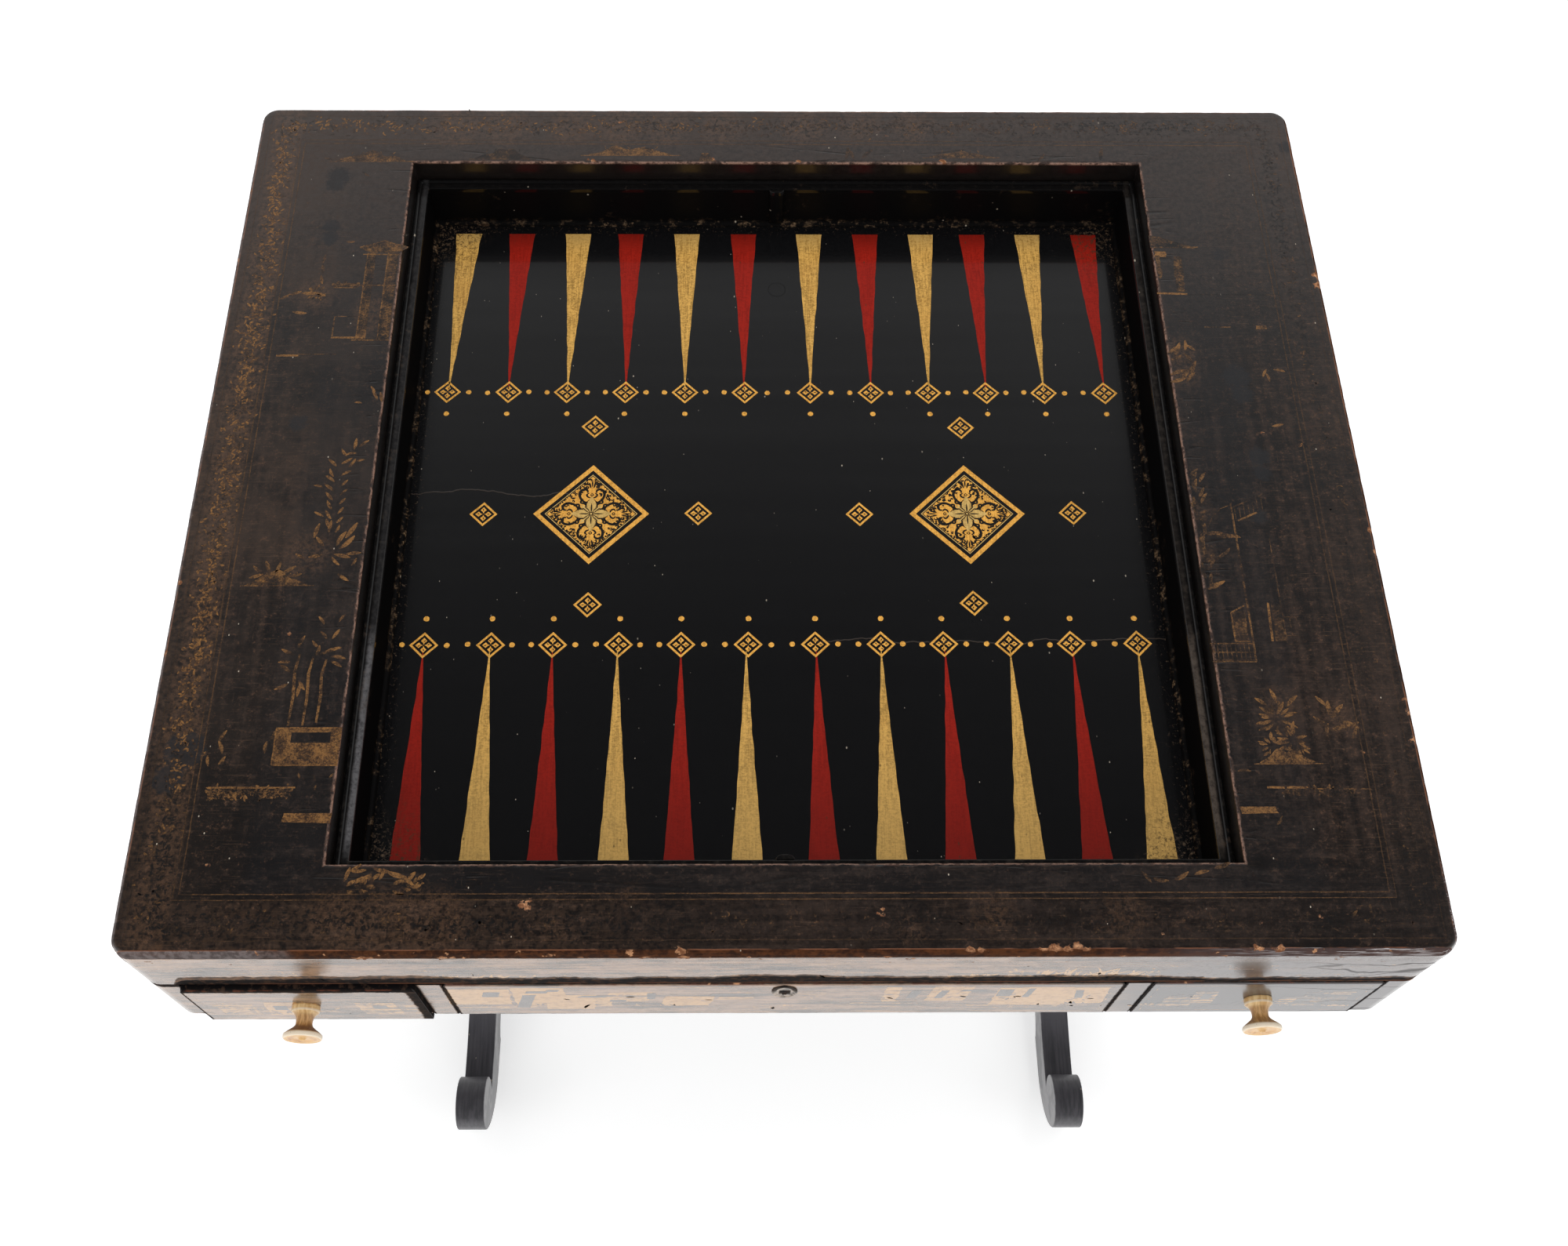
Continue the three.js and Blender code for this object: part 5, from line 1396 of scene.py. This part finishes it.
def gild_front_rail():
    gilt = Gilding(lambda u, v, coat: at(u, front + skin - 0.012 - 0.012 * coat, v), 31)
    for level in (seam + 4.5, top_underside - 4):
        gilt.line((-372, level), (372, level), 0.7, 0.34)
    for u, low, width, tall, strength in ((-175, 4, 60, 17, 0.62), (-118, 8, 34, 12, 0.5),
            (-252, 5, 40, 14, 0.5), (-300, 10, 34, 18, 0.55), (-40, 6, 44, 13, 0.42), (40, 9, 40, 14, 0.4),
            (112, 5, 30, 15, 0.55), (172, 3, 34, 32, 0.85), (150, 5, 22, 20, 0.7), (196, 4, 24, 24, 0.75),
            (250, 8, 36, 14, 0.42), (318, 8, 40, 15, 0.36)):
        gilt.tuft(u, seam + low, width, tall, strength)
    for u, tall, strength in ((-206, 22, 0.5), (-92, 18, 0.45), (64, 20, 0.42), (134, 24, 0.6),
            (214, 22, 0.55)):
        gilt.spray(u, seam + 5, 84, tall, strength, 20, 6)
    for u, strength in ((-160, 0.5), (120, 0.5), (170, 0.75), (-285, 0.5), (250, 0.35)):
        gilt.cloud_bank(u, seam + 5, 30, strength, 5)
    gilt.scrolls((-366, top_underside - 11), (366, top_underside - 11), 8, 5.2,
        lambda u, v: 0.24 * gilt.some(0.3, 1.3))
    gilt.piece("front_rail_gilding", case_gilt)


# Gilt blocks on the drawers: place, foot, width, height, lean and strength; then their dark panes.
left_blocks = ((-334, 14, 22, 24, 0, 0.5), (-308, 12, 20, 30, 3, 0.7), (-246, 13, 24, 28, -3, 0.55),
    (-228, 20, 8, 26, 0, 0.4))
left_panes = ((-308, 24, 8, 10, 1), (-246, 26, 9, 8, -1))
centre_blocks = ((-186, 24, 38, 36, 2, 0.8), (-148, 22, 32, 40, 0, 0.88), (-132, 12, 30, 34, 3, 0.72),
    (-111, 20, 11, 24, 0, 0.6), (-96, 30, 26, 22, 4, 0.5), (-61, 20, 30, 22, 4, 0.78),
    (-30, 34, 22, 8, 2, 0.42), (64, 28, 9, 34, 2, 0.66), (98, 30, 24, 34, 4, 0.6),
    (134, 20, 14, 40, 2, 0.74), (156, 19, 31, 42, 2, 0.95), (184, 22, 26, 38, -2, 0.86),
    (12, 40, 26, 12, 0, 0.34))
centre_panes = ((-178, 42, 10, 11, 2), (-161, 16, 8, 30, 7), (-150, 50, 13, 5, 2), (-140, 54, 8, 4, 2),
    (-118, 40, 18, 4, 5), (-102, 30, 10, 4, 1), (-92, 24, 11, 4, 1), (-81, 36, 5, 14, 1),
    (-33, 44, 24, 4, 2), (77, 36, 6, 18, 3), (94, 36, 5, 18, 3), (113, 52, 15, 4, 2), (133, 40, 9, 16, 1),
    (147, 38, 4, 20, 2), (180, 36, 5, 18, -2))
right_blocks = ((242, 14, 20, 24, 2, 0.42), (258, 20, 14, 30, -2, 0.5), (318, 16, 26, 22, 0, 0.4),
    (338, 26, 14, 22, 2, 0.36))
right_panes = ((258, 32, 6, 12, 0), (320, 24, 10, 8, 1))


def gild_drawer(body, low_x, high_x, face_y, blocks, panes):
    """Garden walls and tufts in worn gilding, with the dark panes that show between them."""
    gilt = Gilding(lambda u, v, coat: at(u, face_y - 0.153 - 0.012 * coat, v), len(body) + 40)
    inlay = Gilding(lambda u, v, coat: at(u, face_y - 0.168 - 0.012 * coat, v), len(body) + 50)
    for level in (case_bottom + 5, drawer_top - 6):
        gilt.line((low_x + 5, level), (high_x - 5, level), 0.7, 0.42)
    for side in (low_x + 5, high_x - 5):
        gilt.line((side, case_bottom + 5), (side, drawer_top - 6), 0.7, 0.36)
    for u, foot, width, tall, lean, strength in blocks:
        gilt.patch(u, case_bottom + foot, width, tall, lean, strength)
    for u, foot, width, tall, lean in panes:
        inlay.patch(u, case_bottom + foot, width, tall, lean, 0.9, 0.5)
    for step in range(int((high_x - low_x) / 22)):
        u = low_x + 12 + step * 22 + gilt.some(-6, 6)
        gilt.tuft(u, case_bottom + gilt.some(8, 14), gilt.some(14, 24), gilt.some(9, 20), gilt.some(0.3, 0.6))
    for step in range(int((high_x - low_x) / 40)):
        u = low_x + 24 + step * 40 + gilt.some(-8, 8)
        gilt.foliage(u, case_bottom + gilt.some(34, 50), 9, gilt.some(0.3, 0.55), 12)
    gilt.piece(f"{body}_gilding", case_gilt, body)
    inlay.piece(f"{body}_panes", case_panes, body)


def gild_side(name, hand):
    """The sides aren't seen in the photograph; they carry the front's plain garden work."""
    gilt = Gilding(lambda u, v, coat: at(hand * (half_width - skin + 0.012 + 0.012 * coat), hand * u, v),
        60 + hand)
    for level in (case_bottom + 5, seam - 4, seam + 4, top_underside - 4):
        gilt.line((-306, level), (306, level), 0.7, 0.42)
    for end in (-306, 306):
        gilt.line((end, case_bottom + 5), (end, seam - 4), 0.7, 0.42)
        gilt.line((end, seam + 4), (end, top_underside - 4), 0.7, 0.42)
    gilt.scrolls((-298, seam + 21), (298, seam + 21), 15, 6.5, lambda u, v: 0.4 * gilt.some(0.3, 1.3))
    for u, strength in ((-214, 0.6), (-40, 0.5), (150, 0.65)):
        gilt.pavilion(u, case_bottom + 12, 30, 24, strength, 11)
        gilt.cloud_bank(u + 44, case_bottom + 11, 34, strength, 5)
        gilt.tree(u - 34, case_bottom + 12, 24, strength, 2)
    for u, width in ((-268, 30), (-128, 34), (36, 30), (92, 36), (236, 34), (274, 24)):
        gilt.tuft(u, case_bottom + 12, width, 22, 0.5)
    gilt.piece(name, side_gilt)


# Case, drawers and feet

def worn_edge(point):
    """Pulls the frame's edges in a little where they have been knocked and chipped."""
    x, y, z = point
    outer = min(half_width - abs(x), half_depth - abs(y))
    inner = max(abs(x) - well_half_x, abs(y) - well_half_y)
    amount = 0.0
    if z > top_underside + 1:
        if outer < 5.5:
            amount = 0.1 + 0.16 * waver(x * 0.05, y * 0.05, 3)
            amount += 0.22 * max(waver(x * 0.21, y * 0.21, z * 0.3), 0)
            for spot_x, spot_y, spot_z, radius in chip_spots():
                away = (point - Vector((spot_x, spot_y, spot_z))).length
                amount += 0.55 * max(0, 1 - (away / (radius * 1.1)) ** 2)
        elif inner < 1.2:
            amount = 0.1 + 0.35 * max(waver(x * 0.16, y * 0.16, 9), 0)
    if outer < 5.5:
        inward = Vector((-math.copysign(min(half_width - abs(x) < 5.5, 1), x),
            -math.copysign(half_depth - abs(y) < 5.5, y), -0.8))
        return point + inward.normalized() * amount
    outward = Vector((math.copysign(abs(x) - well_half_x < 1.2, x),
        math.copysign(abs(y) - well_half_y < 1.2, y), -0.8))
    return point + outward.normalized() * amount * 0.8


def make_top_frame():
    arris_width, arris_depth = 3.2, 8.0
    outer = [(0.1, top_underside), (0, top_underside + 0.1), (0, table_height - arris_depth - 1)]
    for step in range(10):
        angle = math.radians(90 * step / 9)
        outer.append((arris_width * (1 - math.cos(angle)),
            table_height - skin - arris_depth * (1 - math.sin(angle))))
    outer += [(arris_width + 1, table_height - skin), (arris_width + 4, table_height - skin)]
    section = [(half_width - inset, half_depth - inset, max(12 - inset, 5), height)
        for inset, height in outer]
    inner = [(3, table_height - skin), (1.2, table_height - skin), (0.9, table_height - skin),
        (0.55, table_height - 0.1), (0.2, table_height - 0.4), (0, table_height - 0.9),
        (0, table_height - 1.6), (0, top_underside)]
    section += [(well_half_x + out, well_half_y + out, 0.5 + out, height) for out, height in inner]
    frame_piece = ring("top_frame", section, finish_top, "aged_lacquer", 8, (330, 380), worn_edge)
    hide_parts("top_front", "top_back", "top_left", "top_right")


def make_well_mouldings():
    ledge_top = top_underside - 0.05
    bead = 1.8
    rows = [(4, ledge_underside), (4, ledge_top), (-0.05, ledge_top)]
    rows += [(-0.3 - bead - bead * math.cos(math.radians(180 - 180 * step / 10)),
        ledge_top + bead * math.sin(math.radians(180 * step / 10))) for step in range(11)]
    rows += [(-7.2, ledge_top), (-7.7, ledge_top), (-8.1, ledge_top - 0.13), (-8.37, ledge_top - 0.4),
        (-8.5, ledge_top - 0.8), (-8.5, ledge_underside + 0.4), (-8.1, ledge_underside)]
    section = [(well_half_x + out, well_half_y + out, max(0.4, 0.4 + out), height) for out, height in rows]
    ledge = ring("well_ledge", section, finish_well, "aged_lacquer", 3, (90, 90), uneven_moulding)
    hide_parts("ledge_front", "ledge_back", "ledge_left", "ledge_right")
    size = 3.2
    rows = [(-8.5, board_face), (-8.5, board_face + size)]
    rows += [(-8.5 - size * math.sin(math.radians(90 * step / 6)),
        board_face + size * math.cos(math.radians(90 * step / 6))) for step in range(1, 7)]
    section = [(well_half_x + out, well_half_y + out, 0.3, height) for out, height in rows]
    beads = ring("floor_beads", section, finish_well, "board_lacquer", 2, (90, 90), uneven_moulding)
    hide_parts("floor_bead_front", "floor_bead_back", "floor_bead_left", "floor_bead_right")
    for name, hand in (("back", 1), ("front", -1)):
        low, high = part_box(f"wall_slip_{name}")
        outline = [(5.5 * math.cos(math.radians(180 * step / 14)),
            3.45 * math.sin(math.radians(180 * step / 14)) ** 0.8) for step in range(15)]
        wall = well_half_y - ledge_inset
        slip = slab(f"half_round_slip_{name}", outline, low.z / mm, high.z / mm - 0.02,
            lambda u, v, w, hand=hand, wall=wall: at(hand * -u, hand * (wall - v), w), finish_well, "table",
            "board_lacquer", 0.5)
        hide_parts(f"wall_slip_{name}")


def uneven_moulding(point):
    """Hand-run mouldings waver a little."""
    x, y, z = point
    return point + Vector((0, 0, -0.06 - 0.1 * waver(x * 0.03, y * 0.03, 1) - 0.05 * waver(x * 0.14,
        y * 0.14, 2)))


def make_upper_tier():
    """The band of rails under the frame, cut back inside to clear the lock's bolt."""
    rows = [(8, seam), (0.6, seam), (0.2, seam + 0.15), (0, seam + 0.6), (0, seam + 2),
        (0, top_underside - 2), (0, top_underside - 0.15), (0.1, top_underside - 0.05),
        (20, top_underside - 0.05), (20, seam + 12), (8, seam + 12)]
    section = [(half_width - skin - inset, half_depth - skin - inset, max(12 - inset, 1), height)
        for inset, height in rows]
    tier = ring("upper_tier", section, finish_case, "aged_lacquer", 8, (60, 60))
    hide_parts("rail_front", "rail_back", "rail_left", "rail_right")


def eased_copy(node, name, finish, body, width, steps=3):
    """A CAD node's own shape with its sharp edges eased, in its place."""
    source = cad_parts[node].data
    mesh = bpy.data.meshes.new(name)
    build = bmesh.new()
    build.from_mesh(source)
    bmesh.ops.remove_doubles(build, verts=build.verts, dist=1e-6)
    bmesh.ops.dissolve_limit(build, angle_limit=math.radians(1), verts=build.verts, edges=build.edges)
    build.normal_update()
    sharp = [edge for edge in build.edges if edge.is_manifold and edge.calc_face_angle(0) > math.radians(32)]
    bmesh.ops.bevel(build, geom=sharp, offset=width * mm, offset_type="OFFSET", segments=steps, profile=0.5,
        affect="EDGES", clamp_overlap=True)
    limit = (half_width - skin) * mm
    for vertex in build.verts:
        vertex.co.x = max(-limit, min(limit, vertex.co.x))
    bmesh.ops.triangulate(build, faces=[face for face in build.faces if len(face.verts) > 4])
    build.to_mesh(mesh)
    build.free()
    mesh.materials.clear()
    mesh.materials.append(finish)
    mesh.shade_smooth()
    mesh.set_sharp_from_angle(angle=math.radians(28))
    piece = bpy.data.objects.new(name, mesh)
    bpy.context.collection.objects.link(piece)
    modifier = piece.modifiers.new("even_light", "WEIGHTED_NORMAL")
    modifier.keep_sharp = True
    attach(piece, body)
    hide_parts(node)


def make_case():
    for side in ("_left", "_right"):
        for node, name in (("apron", "side_apron"), ("stile", "front_stile")):
            eased_copy(node + side, name + side, finish_case, "table", 0.5)
        for node, name, width, steps in (("foot_bar", "scroll_foot", 1.0, 4),
                ("upright", "trestle_board", 0.8, 3), ("bearer", "trestle_bearer", 0.8, 3)):
            eased_copy(node + side, name + side, finish_ebonised, "table", width, steps)
    eased_copy("apron_back", "back_apron", finish_case, "table", 0.5)
    eased_copy("stretcher", "turned_stretcher", finish_ebonised, "table", 0.2, 2)


def make_drawer_face(name, body, low_x, high_x, face_y):
    """The lacquered skin on a drawer front, with its rounded upper edge."""
    proud, corner, arris = 0.14, 3.0, 2.6
    left, right = low_x - proud, high_x + proud
    low, high = case_bottom + 0.02, drawer_top + proud
    outline = []
    for centre, start in ((right - corner, 0), (left + corner, 90)):
        for step in range(7):
            turn = start + 90 * step / 6
            outline.append((*off(centre, high - corner, turn, corner), math.sin(math.radians(turn))))
        if start == 0:
            outline += [(u, high, 1) for u, _ in along((right - corner, 0), (left + corner, 0), 40)[1:-1]]
    outline += [(left, v, 0) for _, v in along((0, high - corner), (0, low), 8)[1:]]
    outline += [(u, low, 0) for u, _ in along((left, 0), (right, 0), 40)[1:-1]]
    outline += [(right, v, 0) for _, v in along((0, low), (0, high - corner), 8)[:-1]]
    rows = [(0.6, 7.0, True), (0, 7.0, True), (0, arris, False)]
    for step in range(1, 8):
        angle = math.radians(90 * step / 8)
        rows.append((arris * (1 - math.cos(angle)), arris * (1 - math.sin(angle)), False))
    rows += [(arris, 0, False), (arris + 1, 0, False)]
    middle_x, middle_z = (left + right) / 2, (low + high) / 2
    points = []
    for inset, depth, back_row in rows:
        for u, v, share in outline:
            amount = inset if back_row else inset * (0.14 + 0.86 * share)
            aside = math.copysign(amount * (1 if share < 1 else 0), middle_x - u)
            if share in (0, 1) or back_row:
                on_side = abs(u - left) < 0.01 or abs(u - right) < 0.01
                move_u = math.copysign(amount, middle_x - u) if on_side else 0
                move_v = math.copysign(amount,
                    middle_z - v) if (abs(v - low) < 0.01 or abs(v - high) < 0.01) else 0
            else:
                move_u, move_v = aside * (1 - share), -amount * share
            points.append(at(u + move_u, face_y - proud + depth, v + move_v))
    count = len(outline)
    faces = loft_faces(len(rows), count)
    faces.append(tuple(range(len(points) - count, len(points))))
    mesh_object(name, points, faces, finish_case, body, "aged_lacquer", 40)


def make_knob(name, body, x, face_y, node):
    profile = [(-12, 4), (0.05, 4), (0.05, 8.1), (0.5, 8.4), (1.1, 8.5), (2.4, 8.45), (3.6, 8.5),
        (4.2, 8.25), (4.75, 7.6), (5.3, 6.9), (6.2, 6.1), (7.3, 5.55), (8.6, 5.15), (10.2, 4.95),
        (11.6, 5.05), (12.7, 5.55), (13.7, 6.5), (14.8, 7.9), (15.9, 9.4), (16.7, 10.4), (17.2, 10.95),
        (17.45, 11.2), (17.6, 11.5), (18.2, 11.75), (18.9, 11.78), (19.6, 11.75), (20.2, 11.4), (20.5, 10.7),
        (20.35, 10.0), (20.15, 9.4), (20.25, 8.7), (20.1, 7.8), (19.75, 6.4), (19.55, 5.0), (19.5, 3.6),
        (19.7, 2.7), (20.3, 2.1), (20.9, 1.7), (21.3, 1.0), (21.45, 0.3)]
    curve = profile[:3] + smooth_profile(profile[3:], 3)
    curve = [(along, max(radius, 0.05)) for along, radius in curve]
    knob = turning(name, curve, 64, lambda along, across, up: at(x + across, face_y - along, knob_z + up),
        finish_bone, body, "turned_bone", 50)
    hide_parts(node)


def make_keyhole_plate():
    """An oval plate with a raised rim and a keyhole; its finish paints shade along the rim."""
    low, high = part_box("keyhole_plate")
    centre_z = (low.z + high.z) / 2 / mm
    half_x, half_z = (high.x - low.x) / 2 / mm, (high.z - low.z) / 2 / mm
    back = (high.y - middle_y) / mm
    hole_z = table_height - 76
    sides = 72
    rows = ((0, 0.02), (0, 0.55), (0.15, 0.85), (0.5, 0.98), (1.0, 0.98), (1.5, 0.8), (1.8, 0.5), (2.2, 0.42))
    points = []
    for inset, proud in rows:
        for side in range(sides):
            angle = 2 * math.pi * side / sides
            points.append(at((half_x - inset) * math.cos(angle), back - proud,
                centre_z + (half_z - inset) * math.sin(angle)))
    for edge, proud in ((0.5, 0.42), (0.15, 0.38), (0, 0.2), (0, 0.02)):
        for side in range(sides):
            angle = 2 * math.pi * side / sides
            u, v = keyhole_edge(angle, edge)
            points.append(at(u, back - proud, hole_z + v))
    faces = loft_faces(len(rows) + 4, sides)
    faces = [tuple(reversed(face)) for face in faces]
    plate = mesh_object("keyhole_escutcheon", points, faces, finish_plate, "centre_drawer", "worn_metal", 35)
    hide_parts("keyhole_plate")


def keyhole_edge(angle, grow):
    """A point of the keyhole's edge in a direction from its round part's centre."""
    radius, half_slot, slot_end = 2.8 + grow, 1.4 + grow, 7.5 + grow
    reach_u, reach_v = math.cos(angle), math.sin(angle)
    reach = radius
    if reach_v < 0:
        across = half_slot / max(abs(reach_u), 1e-6)
        down = slot_end / max(-reach_v, 1e-6)
        reach = max(radius, min(across, down)) if across > radius else radius
        if abs(reach_u) * slot_end / max(-reach_v, 1e-6) <= half_slot:
            reach = down
    return reach * reach_u, reach * reach_v


# The table

def front_core():
    """The drawer fronts behind their lacquer: stained near the face, bare wood inside."""
    core = Finish("drawer_front_core")
    place = core.place()
    x, y, z = split(place)
    grain = plank_marks(place, (30, 500, 500))
    fine = mottle(place, 420, 4, 0.7)
    behind = y - middle_y - front * mm + (fine - 0.5) * 0.006
    stained = ease(behind, 0.013, 0.008)
    bare = blend(ease(grain, 0.35, 0.65), (0.27, 0.155, 0.075), (0.42, 0.27, 0.15))
    dark = blend(ease(fine * 0.5 + grain * 0.5, 0.4, 0.65), (0.006, 0.005, 0.005), (0.03, 0.021, 0.016))
    shader = core.shade(Base_Color=blend(stained, bare, dark), Roughness=0.55 + 0.3 * fine,
        Normal=bump(fine + grain * 0.5, 0.00025, 0.7))
    return core.close(shader)


def board_ink_finish():
    ink = Finish("board_ink")
    place = ink.place()
    fine = mottle(place, 800, 3, 0.6)
    colour = blend(ease(fine, 0.3, 0.75), (0.0035, 0.0032, 0.0032), (0.012, 0.009, 0.006))
    shader = ink.shade(Base_Color=colour, Roughness=0.3 + 0.1 * fine, Coat_Weight=0.5, Coat_Roughness=0.12,
        Normal=bump(fine, 0.00004, 0.5), IOR=1.45)
    return ink.close(shader)


knob_low, knob_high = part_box("knob_right")
knob_x = (knob_low.x + knob_high.x) / 2 / mm
knob_z = (knob_low.z + knob_high.z) / 2 / mm

finish_top = top_lacquer()
finish_case = case_lacquer()
finish_well = well_lacquer()
finish_board = board_lacquer()
finish_ebonised = ebonised()
finish_wood = drawer_wood()
drawer_faces = {body: (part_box(f"{body}_front")[0].y - middle_y) / mm for body in ("left_drawer",
    "centre_drawer", "right_drawer")}
finish_bone = turned_bone(drawer_faces["left_drawer"], drawer_faces["right_drawer"])
finish_plate = worn_metal("keyhole_metal", (0.05, 0.043, 0.036), (0.52, 0.43, 0.36), (0.012, 0.009, 0.008), 1)
finish_lock = worn_metal("lock_steel", (0.2, 0.19, 0.18), (0.42, 0.4, 0.37), (0.09, 0.05, 0.03))
board_gold = board_paint("board_gold", (0.28, 0.155, 0.036), (0.66, 0.375, 0.092), (0.48, 0.24, 0.05),
    (0.36, 0.235, 0.08), 0.1, 0.38)
board_bright_gold = board_paint("board_bright_gold", (0.46, 0.22, 0.04), (0.8, 0.41, 0.078),
    (0.6, 0.27, 0.045), (0.4, 0.22, 0.07), 0.14, 0.36)
board_pale_gold = board_paint("board_pale_gold", (0.4, 0.255, 0.08), (0.62, 0.405, 0.13),
    (0.48, 0.29, 0.085), (0.3, 0.2, 0.09), 0.1, 0.4)
board_red = board_paint("board_red", (0.2, 0.0085, 0.0045), (0.3, 0.013, 0.0065), (0.24, 0.011, 0.006),
    (0.085, 0.006, 0.004), 0.12, 0.3)
board_ink = board_ink_finish()
frame_gilt = worn_gilding()
case_gilt = case_lacquer("case_gilding", (0.56, 0.32, 0.13), (0.4, 0.215, 0.085))
case_panes = case_lacquer("case_panes", (0.135, 0.118, 0.112), (0.075, 0.064, 0.062))
side_gilt = case_lacquer("side_gilding", (0.34, 0.19, 0.075), (0.17, 0.085, 0.034))

kept_nodes = {"well_lining": finish_well, "playing_board": finish_board, "board_plug": finish_board,
    "case_bottom": finish_ebonised, "partition": finish_wood, "lock_case": finish_lock,
    "lock_bolt": finish_lock}
core_finish = front_core()
for node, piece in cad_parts.items():
    chosen = finish_wood
    for start, finish in kept_nodes.items():
        if node.startswith(start):
            chosen = finish
    if node.endswith("drawer_front"):
        chosen = core_finish
    for material_slot in piece.material_slots:
        material_slot.material = chosen

add_camera()
light_room()
lay_floor()

make_top_frame()
make_well_mouldings()
make_upper_tier()
make_case()
for body, low_x, high_x, blocks, panes in (("left_drawer", -357.5, -219.2, left_blocks, left_panes),
        ("centre_drawer", -202.6, 202.6, centre_blocks, centre_panes),
        ("right_drawer", 219.2, 357.5, right_blocks, right_panes)):
    make_drawer_face(f"{body}_face", body, low_x, high_x, drawer_faces[body])
    gild_drawer(body, low_x, high_x, drawer_faces[body], blocks, panes)
for side, hand in (("left", -1), ("right", 1)):
    body = f"{side}_drawer"
    make_knob(f"turned_knob_{side}", body, hand * knob_x, drawer_faces[body], f"knob_{side}")
make_keyhole_plate()
paint_board()
gild_frame()
gild_front_rail()
gild_side("left_side_gilding", -1)
gild_side("right_side_gilding", 1)

scene = bpy.context.scene
scene.view_settings.view_transform = "Standard"
